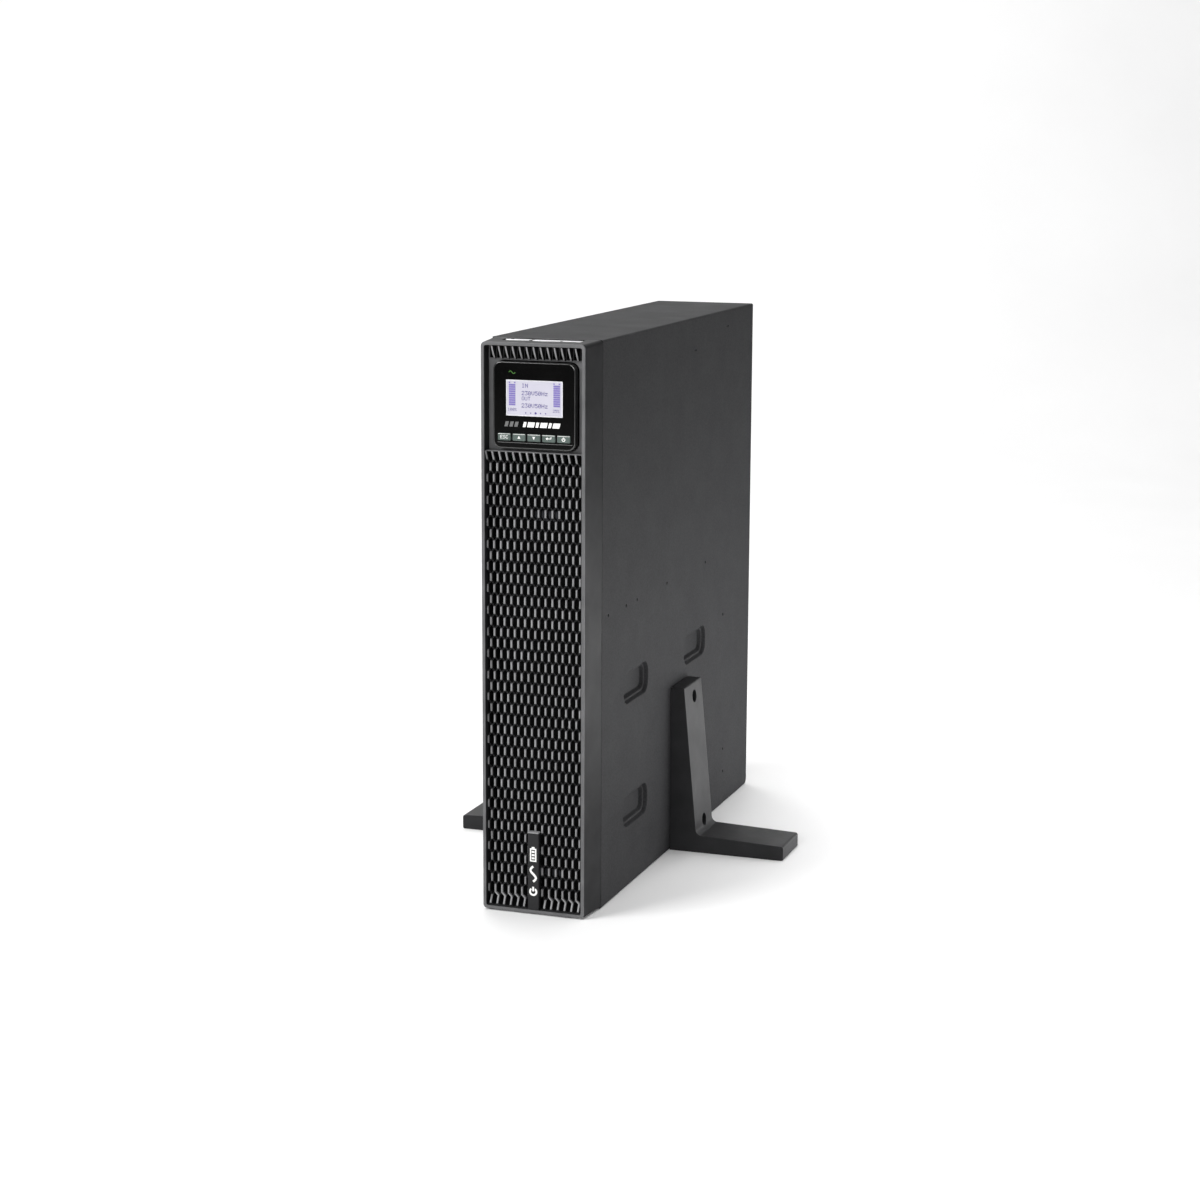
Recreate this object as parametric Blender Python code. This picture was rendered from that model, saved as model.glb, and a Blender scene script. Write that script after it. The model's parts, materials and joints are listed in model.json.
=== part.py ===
"""Rack or tower uninterruptible power supply, standing as a tower on two L-shaped stand feet.

Lengths below are in millimetres and become metres where a mesh is made. X is the width, the front
faces -Y, Z is up, and the origin is on the floor under the middle of the whole object.
"""

import math

import bmesh
import bpy
from mathutils import Vector

MM = 0.001

# Overall sizes
WIDTH = 88.0
HEIGHT = 438.0
BEZEL_DEPTH = 31.0
CHASSIS_DEPTH = 400.0
REAR_STANDOFF = 3.0  # how far the rear fittings stand out of the chassis
SHEET = 1.2
GAP = 0.3

HALF_WIDTH = WIDTH / 2
FRONT_Y = -(BEZEL_DEPTH + CHASSIS_DEPTH + REAR_STANDOFF) / 2
SEAM_Y = FRONT_Y + BEZEL_DEPTH
REAR_Y = SEAM_Y + CHASSIS_DEPTH
BACKMOST_Y = REAR_Y + REAR_STANDOFF

# Steel walls
INNER_X = HALF_WIDTH - SHEET - GAP
FLANGE = 15.0
PANEL_LOW_Z = 3.0
PANEL_HIGH_Z = HEIGHT - PANEL_LOW_Z
PANEL_CENTRE = (0.0, HEIGHT / 2)
PANEL_SIZE = (2 * INNER_X, PANEL_HIGH_Z - PANEL_LOW_Z)
FRONT_PANEL_Y = SEAM_Y + 1.5
REAR_PANEL_Y = REAR_Y - 0.6
BACK_CORNER_RADIUS = 6.0
SCREW_CLEARANCE = 2.4

# Drawn pockets in the right side
POCKET_SIZE = (58.5, 24.0)
POCKET_RADIUS = 9.0
POCKET_DEPTH = 6.0
POCKET_LEDGE_DEPTH = 3.0
POCKET_LEDGE_WIDTH = 3.0
POCKET_CENTRES = [(SEAM_Y + y, z) for y in (82.0, 236.6) for z in (61.8, 161.7)]

# Stand feet
FOOT_FRONT_Y = SEAM_Y + 172.0
FOOT_DEPTH = 50.0
FOOT_REACH = 98.0
FOOT_HEIGHT = 138.5
FOOT_TIP_HEIGHT = 12.0
FOOT_ARM_TOP = 11.7
FOOT_ROOT = (71.7, 19.4)  # centre of the round where the arm meets the base
FOOT_ROOT_RADIUS = 5.0
FOOT_EDGE = 1.5
FOOT_SCREW_Y = FOOT_FRONT_Y + FOOT_DEPTH / 2
FOOT_SCREW_ZS = (22.0, 127.0)
COUNTERBORE_RADIUS = 5.4
COUNTERBORE_X = HALF_WIDTH + 6.3
SCREW_HEAD = (4.4, 2.8)
SCREW_RADIUS = 2.0

# Front bezel
BEZEL_TAPER = (3.0, 1.1)  # how much narrower and lower the front is, at each side
BEZEL_CORNER = 3.0
BORDER = 1.7
BEZEL_HOLLOW = (WIDTH - 2 * (BEZEL_TAPER[0] + BORDER), HEIGHT - 2 * (BEZEL_TAPER[1] + BORDER))
GRILLE_Y = FRONT_Y + 4.8
GRILLE_THICKNESS = 5.0
GRILLE_TOP_Z = 355.8
GRILLE_ROWS = 11
GRILLE_PITCH_X = 14.8
CELL_SIZE = (11.6, 24.0)
WEB_Y = FRONT_Y + 10.2
WEB_THICKNESS = 2.5
WEB_LOW_Z = 352.0
SLEEVE_BACK_Y = WEB_Y + 14.0
SLEEVE_WALL = 1.8
LOUVRE_SLOTS = 14
LOUVRE_PITCH = 5.5
LOUVRE_SLOT = (4.0, 8.4)
LOUVRE_Z = 429.8
BADGE_SIZE = (8.9, 61.6)
BADGE_LOW_Z = 3.7
TAB_ZS = (60.0, 380.0)
TAB_X = 40.6

# Display head
HEAD_SIZE = (65.2, 64.6)
HEAD_CENTRE = (0.0, 390.2)
HEAD_RADIUS = 6.0
HEAD_Y = FRONT_Y + 3.2
HEAD_BACK_Y = HEAD_Y + 17.0
HEAD_WALL = 3.0
HEAD_HOLLOW = (HEAD_SIZE[0] - 2 * HEAD_WALL, HEAD_SIZE[1] - 2 * HEAD_WALL)
SCREEN_SIZE = (44.8, 26.8)
SCREEN_CENTRE = (0.0, 395.8)
KEY_NAMES = ("escape", "up", "down", "enter", "power")
KEY_SIZE = (10.4, 5.5)
KEY_FLANGE = 8.5
KEY_PITCH = 11.75
KEY_Z = 366.6
KEY_PROUD = 0.8

# Release latch in the top end of the bezel
LATCH_CENTRE = (1.0, SEAM_Y - 10.5)
LATCH_SIZE = (62.0, 13.0)
LATCH_BAR = 20.0  # length of the fixed bar beside the button
LATCH_TRAVEL = 2.5

# Batteries: three sealed 12 V blocks
BATTERY_SIZE = (65.0, 151.0, 94.0)
TERMINAL_HEIGHT = 6.0
BATTERY_PITCH = 100.5
BATTERY_CORNER = (-33.0, SEAM_Y + 6.0, 13.5)

# Electronics bay; boards are (low Y, low Z, high Y, high Z)
BAY_WALL_Y = -24.0
SHELF_Z = 320.0
BOARD_X = -38.6
BOARD_THICKNESS = 1.6
PARTS_X = BOARD_X + BOARD_THICKNESS + GAP
POWER_BOARD = (-14.0, 14.0, 178.0, 336.0)
CONTROL_BOARD = (-168.0, 332.0, -34.0, 426.0)
PILLAR_INSET = 7.0
HEATSINK_ZS = (218.0, 264.0)
HEATSINK_YS = (10.0, 110.0)
HEATSINK_BASE = 4.0
HEATSINK_FINS = 7
FIN_SIZE = (1.6, 28.0)
FIN_PITCH = 7.2
CAPACITOR_CENTRES = [(y, z) for y in (130.0, 163.0) for z in (226.0, 259.0)]
CAPACITOR_RADIUS = 15.0
CAPACITOR_LENGTH = 45.0
INDUCTOR_CENTRES = [(30.0, 170.0), (82.0, 170.0)]
LEAD_RADIUS = 3.5
LEAD_ROUTE = [
    (24, -76, 330),
    (24, -30, 330),
    (22, 0, 329),
    (10, 22, 326),
    (-12, 30, 324),
    (PARTS_X, 30, 323),
]

# Fan
FAN_SIZE = 80.0
FAN_DEPTH = 25.0
FAN_CENTRE = (0.0, 388.0)
FAN_BACK_Y = REAR_PANEL_Y - SHEET - GAP
FAN_FRONT_Y = FAN_BACK_Y - FAN_DEPTH
FAN_BORE = 38.0
FAN_STRUT = 3.0
HUB_RADIUS = 17.0
BLADE_RADIUS = 36.4
BLADES = 7
GUARD_RADIUS = 42.0
GUARD_WIRE = 1.8
GUARD_RINGS = (11.0, 21.0, 31.0, 41.0)
EAR_OFFSET = 35.75

# Rear fittings, with centres as (X, Z)
FLANGE_Y = REAR_PANEL_Y + GAP
FLANGE_THICKNESS = 2.0
OUTLET_XS = (-19.0, 19.0)
OUTLETS_PER_BANK = 4
OUTLET_PITCH = 28.0
OUTLET_LOW_Z = 112.0
OUTLET_RECESS = (16.6, 24.4)
OUTLET_DEPTH = 15.0
OUTLET_BODY = (23.6, OUTLETS_PER_BANK * OUTLET_PITCH - 1.0)
OUTLET_CENTRE_Z = OUTLET_LOW_Z + (OUTLETS_PER_BANK - 1) * OUTLET_PITCH / 2
INLET_CENTRE = (-13.0, 76.0)
INLET_BODY = (28.0, 21.0)
INLET_RECESS = (24.4, 16.6)
BREAKER_CENTRE = (27.0, 76.0)
BUTTON_RADIUS = 3.3
SLOT_CENTRE = (-17.0, 284.0)
SLOT_SIZE = (40.0, 92.0)
USB_CENTRE = (27.0, 322.0)
USB_BODY = (12.0, 11.0)
USB_RECESS = (8.6, 7.9)
SERIAL_CENTRE = (27.0, 290.0)
SERIAL_BODY = (11.0, 25.0)
CONTACT_CENTRE = (27.0, 256.0)
CONTACT_BODY = (9.0, 12.0)
PACK_CENTRE = (-8.0, 32.0)
PACK_BODY = (50.0, 28.0)
PACK_SOCKET = (18.0, 14.0)
STUD_CENTRE = (33.0, 32.0)

FINISHES = {
    "steel_cover": ((0.045, 0.045, 0.047), 0.55, 0.3),
    "zinc_steel": ((0.55, 0.56, 0.57), 0.4, 1.0),
    "bezel_plastic": ((0.03, 0.03, 0.032), 0.45, 0.0),
    "gloss_black": ((0.008, 0.008, 0.008), 0.08, 0.0),
    "screen": ((0.72, 0.70, 0.86), 0.2, 0.0),
    "key_plastic": ((0.17, 0.21, 0.19), 0.35, 0.0),
    "satin_metal": ((0.62, 0.62, 0.63), 0.3, 1.0),
    "black_steel": ((0.03, 0.03, 0.032), 0.4, 0.6),
    "foot_plastic": ((0.028, 0.028, 0.030), 0.5, 0.0),
    "battery_case": ((0.05, 0.05, 0.055), 0.5, 0.0),
    "board_green": ((0.02, 0.16, 0.07), 0.4, 0.0),
    "aluminium": ((0.7, 0.71, 0.72), 0.35, 1.0),
    "capacitor_sleeve": ((0.03, 0.05, 0.12), 0.35, 0.0),
    "copper_winding": ((0.55, 0.2, 0.07), 0.35, 1.0),
    "fan_plastic": ((0.02, 0.02, 0.022), 0.45, 0.0),
    "socket_plastic": ((0.012, 0.012, 0.013), 0.45, 0.0),
    "connector_green": ((0.03, 0.3, 0.12), 0.4, 0.0),
    "breaker_button": ((0.5, 0.03, 0.02), 0.4, 0.0),
    "cable_red": ((0.35, 0.02, 0.015), 0.45, 0.0),
    "brass": ((0.75, 0.55, 0.22), 0.3, 1.0),
}

# The two coordinates of an outline, then the one along each axis
PLANES = {"X": (1, 2, 0), "Y": (0, 2, 1), "Z": (0, 1, 2)}


# ---- Outlines: lists of (first, second) coordinates ----


def rectangle(centre, size):
    half_u, half_v = size[0] / 2, size[1] / 2
    corners = ((-half_u, -half_v), (half_u, -half_v), (half_u, half_v), (-half_u, half_v))
    return [(centre[0] + u, centre[1] + v) for u, v in corners]


def arc(centre, radius, start, end, steps):
    angles = [math.radians(start + (end - start) * step / steps) for step in range(steps + 1)]
    return [(centre[0] + radius * math.cos(a), centre[1] + radius * math.sin(a)) for a in angles]


def rounded_rectangle(centre, size, radius, steps=4):
    outline = []
    for quarter, (side_u, side_v) in enumerate(((1, 1), (-1, 1), (-1, -1), (1, -1))):
        corner = (
            centre[0] + side_u * (size[0] / 2 - radius),
            centre[1] + side_v * (size[1] / 2 - radius),
        )
        outline += arc(corner, radius, quarter * 90, quarter * 90 + 90, steps)
    return outline


def circle(centre, radius, steps=24):
    return arc(centre, radius, 0, 360, steps)[:-1]


def sector(centre, inner, outer, start, end, steps=6):
    """Part of a ring between two radii and two angles."""
    return arc(centre, outer, start, end, steps) + arc(centre, inner, end, start, steps)


def grown(size, margin):
    return size[0] + 2 * margin, size[1] + 2 * margin


# ---- Closed shells: (points, faces) ----


def place(axis, first, second, along):
    point = [0.0, 0.0, 0.0]
    for index, value in zip(PLANES[axis], (first, second, along)):
        point[index] = value
    return tuple(point)


def loft(axis, sections):
    """Closed shell through outlines of equal length, each given as (position along axis, outline)."""
    count = len(sections[0][1])
    points = [place(axis, u, v, along) for along, outline in sections for u, v in outline]
    faces = []
    for ring in range(len(sections) - 1):
        low, high = ring * count, (ring + 1) * count
        for index in range(count):
            after = (index + 1) % count
            faces.append((low + index, low + after, high + after, high + index))
    faces.append(tuple(range(count)))
    faces.append(tuple(range(len(points) - count, len(points))))
    return points, faces


def prism(axis, low, high, outline):
    return loft(axis, [(low, outline), (high, outline)])


def box(low, high):
    centre = ((low[0] + high[0]) / 2, (low[1] + high[1]) / 2)
    return prism("Z", low[2], high[2], rectangle(centre, (high[0] - low[0], high[1] - low[1])))


def turned(axis, centre, profile, steps=24):
    """Closed shell turned about a line along axis, from (position, radius) pairs."""
    return loft(axis, [(along, circle(centre, radius, steps)) for along, radius in profile])


def merged(shells):
    """Several separate shells as one."""
    points, faces = [], []
    for shell_points, shell_faces in shells:
        offset = len(points)
        points += shell_points
        faces += [tuple(index + offset for index in face) for face in shell_faces]
    return points, faces


def on_side(side, shell):
    """The shell as it is for side 1, or mirrored to the left for side -1."""
    points, faces = shell
    return [(side * x, y, z) for x, y, z in points], faces


# ---- Objects ----


def finish_material(name):
    material = bpy.data.materials.get(name)
    if material:
        return material
    colour, roughness, metallic = FINISHES[name]
    material = bpy.data.materials.new(name)
    material.use_nodes = True
    shader = material.node_tree.nodes["Principled BSDF"]
    shader.inputs["Base Color"].default_value = (*colour, 1.0)
    shader.inputs["Roughness"].default_value = roughness
    shader.inputs["Metallic"].default_value = metallic
    return material


def shell_centre(shell):
    """The middle of a shell's box."""
    points = shell[0]
    return tuple((min(p[i] for p in points) + max(p[i] for p in points)) / 2 for i in range(3))


def mesh_object(name, shell, origin=None):
    """An object whose mesh is the shell, with its own origin at a point in millimetres."""
    points, faces = shell
    start = Vector(origin or shell_centre(shell))
    mesh = bpy.data.meshes.new(name)
    mesh.from_pydata([(Vector(point) - start) * MM for point in points], [], faces)
    shape = bmesh.new()
    shape.from_mesh(mesh)
    bmesh.ops.recalc_face_normals(shape, faces=shape.faces)
    shape.to_mesh(mesh)
    shape.free()
    made = bpy.data.objects.new(name, mesh)
    made.location = start * MM
    bpy.context.scene.collection.objects.link(made)
    return made


def solid(name, finish, shell, changes=(), origin=None, smooth=False):
    """One piece: a shell with others joined to it or cut from it, in the order given."""
    made = mesh_object(name, shell, origin)
    made.data.materials.append(finish_material(finish))
    if smooth:
        made.data.shade_smooth()
        made.data.set_sharp_from_angle(angle=math.radians(35))
    for number, (operation, other) in enumerate(changes):
        helper = mesh_object(f"{name}_helper_{number}", other)
        helper.hide_render = True
        helper.display_type = "WIRE"
        modifier = made.modifiers.new(f"{operation}_{number}", "BOOLEAN")
        modifier.operation = {"join": "UNION", "cut": "DIFFERENCE"}[operation]
        modifier.object = helper
        modifier.solver = "EXACT"
    return made


def bevel(made, width):
    modifier = made.modifiers.new("edges", "BEVEL")
    modifier.width = width * MM
    modifier.segments = 1
    modifier.limit_method = "ANGLE"
    modifier.angle_limit = math.radians(40)


# ---- Steel chassis ----


def pocket_shells(margin, low_x, high_x):
    size = grown(POCKET_SIZE, margin)
    outlines = [rounded_rectangle(centre, size, POCKET_RADIUS + margin) for centre in POCKET_CENTRES]
    return merged([prism("X", low_x, high_x, outline) for outline in outlines])


def foot_screw_holes(side):
    holes = [
        prism("X", HALF_WIDTH - 3, HALF_WIDTH + 3, circle((FOOT_SCREW_Y, z), SCREW_CLEARANCE, 12))
        for z in FOOT_SCREW_ZS
    ]
    return on_side(side, merged(holes))


def back_corner_cut():
    """What rounds off the lower back corner of a side."""
    middle = (REAR_Y - BACK_CORNER_RADIUS, BACK_CORNER_RADIUS)
    outline = arc(middle, BACK_CORNER_RADIUS, 270, 360, 4)
    outline += [(REAR_Y + 2, middle[1]), (REAR_Y + 2, -2), (middle[0], -2)]
    return prism("X", -HALF_WIDTH - 2, HALF_WIDTH + 2, outline)


def make_side_cover():
    """Right side with the top and bottom folded over, and four drawn pockets."""
    left = -INNER_X
    inner = HALF_WIDTH - SHEET
    profile = [
        (left, 0),
        (HALF_WIDTH, 0),
        (HALF_WIDTH, HEIGHT),
        (left, HEIGHT),
        (left, HEIGHT - SHEET),
        (inner, HEIGHT - SHEET),
        (inner, SHEET),
        (left, SHEET),
    ]
    floor = HALF_WIDTH - POCKET_DEPTH
    changes = [
        ("join", pocket_shells(SHEET, floor - SHEET, inner + 0.4)),
        ("cut", pocket_shells(0, HALF_WIDTH - POCKET_LEDGE_DEPTH, HALF_WIDTH + 2)),
        ("cut", pocket_shells(-POCKET_LEDGE_WIDTH, floor, HALF_WIDTH + 1)),
        ("cut", foot_screw_holes(1)),
        ("cut", back_corner_cut()),
    ]
    solid("side_cover", "steel_cover", prism("Y", SEAM_Y + GAP, REAR_Y, profile), changes)


def board_corners(board):
    low_y, low_z, high_y, high_z = board
    return [
        (y, z)
        for y in (low_y + PILLAR_INSET, high_y - PILLAR_INSET)
        for z in (low_z + PILLAR_INSET, high_z - PILLAR_INSET)
    ]


def make_base_tray():
    """Left side with narrow flanges under the cover, and pillars that carry the boards."""
    outer, inner = -HALF_WIDTH, -HALF_WIDTH + SHEET
    reach = inner + FLANGE
    low = SHEET + GAP
    high = HEIGHT - low
    profile = [
        (outer, 0),
        (inner, 0),
        (inner, low),
        (reach, low),
        (reach, low + SHEET),
        (inner, low + SHEET),
        (inner, high - SHEET),
        (reach, high - SHEET),
        (reach, high),
        (inner, high),
        (inner, HEIGHT),
        (outer, HEIGHT),
    ]
    corners = board_corners(POWER_BOARD) + board_corners(CONTROL_BOARD)
    pillars = [prism("X", inner - 0.6, BOARD_X - GAP, circle(corner, 3.0, 8)) for corner in corners]
    changes = [("join", merged(pillars)), ("cut", foot_screw_holes(-1)), ("cut", back_corner_cut())]
    solid("base_tray", "steel_cover", prism("Y", SEAM_Y + GAP, REAR_Y, profile), changes)


def make_front_panel():
    """Inner front wall with the battery opening, air vents and notches for the bezel's tabs."""
    low, high = FRONT_PANEL_Y - 2, FRONT_PANEL_Y + SHEET + 2
    openings = [rectangle((0, 164), (76, 304))]
    openings += [
        rounded_rectangle((x, z), (6, 36), 2.9, 2) for x in range(-30, 31, 12) for z in (350, 400)
    ]
    openings += [rectangle((side * TAB_X, z), (5.0, 14.0)) for side in (-1, 1) for z in TAB_ZS]
    plate = prism("Y", FRONT_PANEL_Y, FRONT_PANEL_Y + SHEET, rectangle(PANEL_CENTRE, PANEL_SIZE))
    cutters = merged([prism("Y", low, high, outline) for outline in openings])
    solid("front_panel", "steel_cover", plate, [("cut", cutters)])


def make_battery_door():
    back = FRONT_PANEL_Y - GAP
    plate = prism("Y", back - 1.0, back, rectangle((0, 164), (77.6, 314)))
    grips = [
        prism("Y", back - 4, back + 2, rounded_rectangle((0, z), (24, 8), 3.9, 3)) for z in (24, 304)
    ]
    solid("battery_door", "steel_cover", plate, [("cut", merged(grips))])


def make_bay_wall():
    """Partition behind the batteries and the shelf over them, in one folded sheet."""
    front = FRONT_PANEL_Y + SHEET + GAP
    bottom = PANEL_LOW_Z + 0.5
    profile = [
        (front, SHELF_Z),
        (BAY_WALL_Y, SHELF_Z),
        (BAY_WALL_Y, bottom),
        (BAY_WALL_Y + SHEET, bottom),
        (BAY_WALL_Y + SHEET, SHELF_Z + SHEET),
        (front, SHELF_Z + SHEET),
    ]
    passage = prism("Z", SHELF_Z - 3, SHELF_Z + 4, rectangle((24, -100), (22, 30)))
    solid("bay_wall", "zinc_steel", prism("X", -40.0, 38.0, profile), [("cut", passage)])


def make_rear_panel():
    outlines = [rectangle((x, OUTLET_CENTRE_Z), grown(OUTLET_BODY, GAP)) for x in OUTLET_XS]
    outlines += [
        circle(FAN_CENTRE, FAN_BORE, 32),
        rectangle(INLET_CENTRE, grown(INLET_BODY, GAP)),
        circle(BREAKER_CENTRE, 6.3, 16),
        rectangle(SLOT_CENTRE, SLOT_SIZE),
        rectangle(USB_CENTRE, grown(USB_BODY, GAP)),
        rectangle(SERIAL_CENTRE, grown(SERIAL_BODY, GAP)),
        rectangle(CONTACT_CENTRE, grown(CONTACT_BODY, GAP)),
        rectangle(PACK_CENTRE, grown(PACK_BODY, GAP)),
        circle(STUD_CENTRE, 2.8, 12),
    ]
    low, high = REAR_PANEL_Y - SHEET, REAR_PANEL_Y
    cutters = merged([prism("Y", low - 2, high + 2, outline) for outline in outlines])
    plate = prism("Y", low, high, rectangle(PANEL_CENTRE, PANEL_SIZE))
    solid("rear_panel", "steel_cover", plate, [("cut", cutters)])


# ---- Stand feet ----


def foot_outline():
    """The L shape from the front: a base that thins to its tip and an arm that thins to its top."""
    inner = HALF_WIDTH + GAP
    tip = HALF_WIDTH + FOOT_REACH
    arm = HALF_WIDTH + FOOT_ARM_TOP
    outline = [(inner, 0), (tip - FOOT_EDGE, 0), (tip, FOOT_EDGE)]
    outline += [(tip, FOOT_TIP_HEIGHT - FOOT_EDGE), (tip - FOOT_EDGE, FOOT_TIP_HEIGHT)]
    outline += arc(FOOT_ROOT, FOOT_ROOT_RADIUS, 268, 185, 4)
    outline += [(arm, FOOT_HEIGHT - FOOT_EDGE), (arm - FOOT_EDGE, FOOT_HEIGHT), (inner, FOOT_HEIGHT)]
    return outline


def make_foot(name, side):
    shank = [
        prism("X", HALF_WIDTH - 2, COUNTERBORE_X + 1, circle((FOOT_SCREW_Y, z), SCREW_CLEARANCE, 12))
        for z in FOOT_SCREW_ZS
    ]
    heads = [
        prism("X", COUNTERBORE_X, HALF_WIDTH + 40, circle((FOOT_SCREW_Y, z), COUNTERBORE_RADIUS, 20))
        for z in FOOT_SCREW_ZS
    ]
    body = prism("Y", FOOT_FRONT_Y, FOOT_FRONT_Y + FOOT_DEPTH, foot_outline())
    changes = [("cut", on_side(side, merged(shank))), ("cut", on_side(side, merged(heads)))]
    solid(f"foot_{name}", "foot_plastic", on_side(side, body), changes)
    head_low = COUNTERBORE_X + GAP
    profile = [
        (HALF_WIDTH - 4.5, SCREW_RADIUS),
        (head_low, SCREW_RADIUS),
        (head_low, SCREW_HEAD[0]),
        (head_low + SCREW_HEAD[1], SCREW_HEAD[0] - 0.6),
    ]
    for level, z in zip(("lower", "upper"), FOOT_SCREW_ZS):
        screw = on_side(side, turned("X", (FOOT_SCREW_Y, z), profile, 16))
        solid(f"foot_screw_{name}_{level}", "black_steel", screw, smooth=True)


# ---- Front bezel ----


def make_bezel_frame():
    """Tapered surround with the web that holds the display head, its sleeve and the louvre."""
    front_size = (WIDTH - 2 * BEZEL_TAPER[0], HEIGHT - 2 * BEZEL_TAPER[1])
    ring = loft(
        "Y",
        [
            (FRONT_Y, rounded_rectangle(PANEL_CENTRE, front_size, BEZEL_CORNER, 3)),
            (SEAM_Y, rounded_rectangle(PANEL_CENTRE, (WIDTH, HEIGHT), BEZEL_CORNER, 3)),
        ],
    )
    hollow = prism("Y", FRONT_Y - 2, SEAM_Y + 2, rectangle(PANEL_CENTRE, BEZEL_HOLLOW))
    web_high_z = HEIGHT / 2 + BEZEL_HOLLOW[1] / 2 + 0.8
    web_half = BEZEL_HOLLOW[0] / 2 + 0.8
    web = box((-web_half, WEB_Y, WEB_LOW_Z), (web_half, WEB_Y + WEB_THICKNESS, web_high_z))
    mouth = grown(HEAD_SIZE, 0.4)
    sleeve = prism(
        "Y",
        WEB_Y + 1,
        SLEEVE_BACK_Y,
        rounded_rectangle(HEAD_CENTRE, grown(mouth, SLEEVE_WALL), HEAD_RADIUS + SLEEVE_WALL),
    )
    passage = prism(
        "Y", WEB_Y - 2, SLEEVE_BACK_Y + 2, rounded_rectangle(HEAD_CENTRE, mouth, HEAD_RADIUS)
    )
    first_x = -LOUVRE_PITCH * (LOUVRE_SLOTS - 1) / 2
    slots = [
        prism("Y", WEB_Y - 2, WEB_Y + 6, rectangle((first_x + n * LOUVRE_PITCH, LOUVRE_Z), LOUVRE_SLOT))
        for n in range(LOUVRE_SLOTS)
    ]
    latch_mouth = prism("Z", HEIGHT - 6, HEIGHT + 4, rectangle(LATCH_CENTRE, LATCH_SIZE))
    tabs = [
        box((side * TAB_X - 0.8, SEAM_Y - 3, z - 6), (side * TAB_X + 0.8, SEAM_Y + 5, z + 6))
        for side in (-1, 1)
        for z in TAB_ZS
    ]
    changes = [
        ("cut", hollow),
        ("join", web),
        ("join", sleeve),
        ("join", merged(tabs)),
        ("cut", passage),
        ("cut", merged(slots)),
        ("cut", latch_mouth),
    ]
    solid("bezel_frame", "bezel_plastic", ring, changes)


def cell_outline(centre):
    """A tall six-sided air cell."""
    half_u, half_v = CELL_SIZE[0] / 2, CELL_SIZE[1] / 2
    tip = half_u / 2
    corners = ((0, -half_v), (half_u, tip - half_v), (half_u, half_v - tip))
    corners += tuple((-u, -v) for u, v in corners)
    return [(centre[0] + u, centre[1] + v) for u, v in corners]


def make_bezel_grille():
    half_x = BEZEL_HOLLOW[0] / 2 - GAP
    low_z = HEIGHT / 2 - BEZEL_HOLLOW[1] / 2 + GAP
    pitch_z = (GRILLE_TOP_Z - low_z) / GRILLE_ROWS
    cells = []
    for row in range(GRILLE_ROWS):
        columns = 5 - row % 2
        for column in range(columns):
            x = (column - (columns - 1) / 2) * GRILLE_PITCH_X
            cells.append(cell_outline((x, low_z + (row + 0.5) * pitch_z)))
    plate = box(
        (-half_x, GRILLE_Y, low_z),
        (half_x, GRILLE_Y + GRILLE_THICKNESS, GRILLE_TOP_Z),
    )
    cutters = [prism("Y", GRILLE_Y - 2, GRILLE_Y + GRILLE_THICKNESS + 2, cell) for cell in cells]
    solid("bezel_grille", "bezel_plastic", plate, [("cut", merged(cutters))])


def make_badge_bar():
    half = BADGE_SIZE[0] / 2
    bar = box(
        (-half, FRONT_Y, BADGE_LOW_Z),
        (half, GRILLE_Y - GAP, BADGE_LOW_Z + BADGE_SIZE[1]),
    )
    bevel(solid("badge_bar", "bezel_plastic", bar), 0.6)


def make_latch():
    """A satin guide under the top of the bezel, with a fixed bar and a push button side by side."""
    wall_z = HEIGHT / 2 + BEZEL_HOLLOW[1] / 2 - GAP
    low_x, high_x = LATCH_CENTRE[0] - LATCH_SIZE[0] / 2, LATCH_CENTRE[0] + LATCH_SIZE[0] / 2
    low_y, high_y = LATCH_CENTRE[1] - LATCH_SIZE[1] / 2, LATCH_CENTRE[1] + LATCH_SIZE[1] / 2
    bar_end = low_x + LATCH_BAR
    guide = box((low_x - 3, low_y - 1, wall_z - 5), (high_x + 3, high_y + 1.6, wall_z))
    bar = box((low_x + GAP, low_y + GAP, wall_z - 1), (bar_end, high_y - GAP, HEIGHT - 0.3))
    well = box((bar_end + 1, low_y, wall_z - 3.6), (high_x, high_y, wall_z + 3))
    solid("latch_guide", "satin_metal", guide, [("join", bar), ("cut", well)])
    button = box(
        (bar_end + 1.6, low_y + GAP, wall_z - 0.8),
        (high_x - GAP, high_y - GAP, HEIGHT - 0.3),
    )
    bevel(solid("latch_button", "satin_metal", button), 0.4)


# ---- Display head ----


def key_x(number):
    return (number - (len(KEY_NAMES) - 1) / 2) * KEY_PITCH


def make_display_head():
    body = loft(
        "Y",
        [
            (HEAD_Y, rounded_rectangle(HEAD_CENTRE, grown(HEAD_SIZE, -0.8), HEAD_RADIUS - 0.8)),
            (HEAD_Y + 0.8, rounded_rectangle(HEAD_CENTRE, HEAD_SIZE, HEAD_RADIUS)),
            (HEAD_BACK_Y, rounded_rectangle(HEAD_CENTRE, HEAD_SIZE, HEAD_RADIUS)),
        ],
    )
    hollow = prism(
        "Y", HEAD_Y + HEAD_WALL, HEAD_BACK_Y + 2, rounded_rectangle(HEAD_CENTRE, HEAD_HOLLOW, 3, 2)
    )
    windows = [rectangle(SCREEN_CENTRE, grown(SCREEN_SIZE, GAP))]
    windows += [rectangle((key_x(n), KEY_Z), grown(KEY_SIZE, GAP)) for n in range(len(KEY_NAMES))]
    cutters = [prism("Y", HEAD_Y - 2, HEAD_Y + HEAD_WALL + 2, outline) for outline in windows]
    solid("display_head", "gloss_black", body, [("cut", hollow), ("cut", merged(cutters))])


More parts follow.
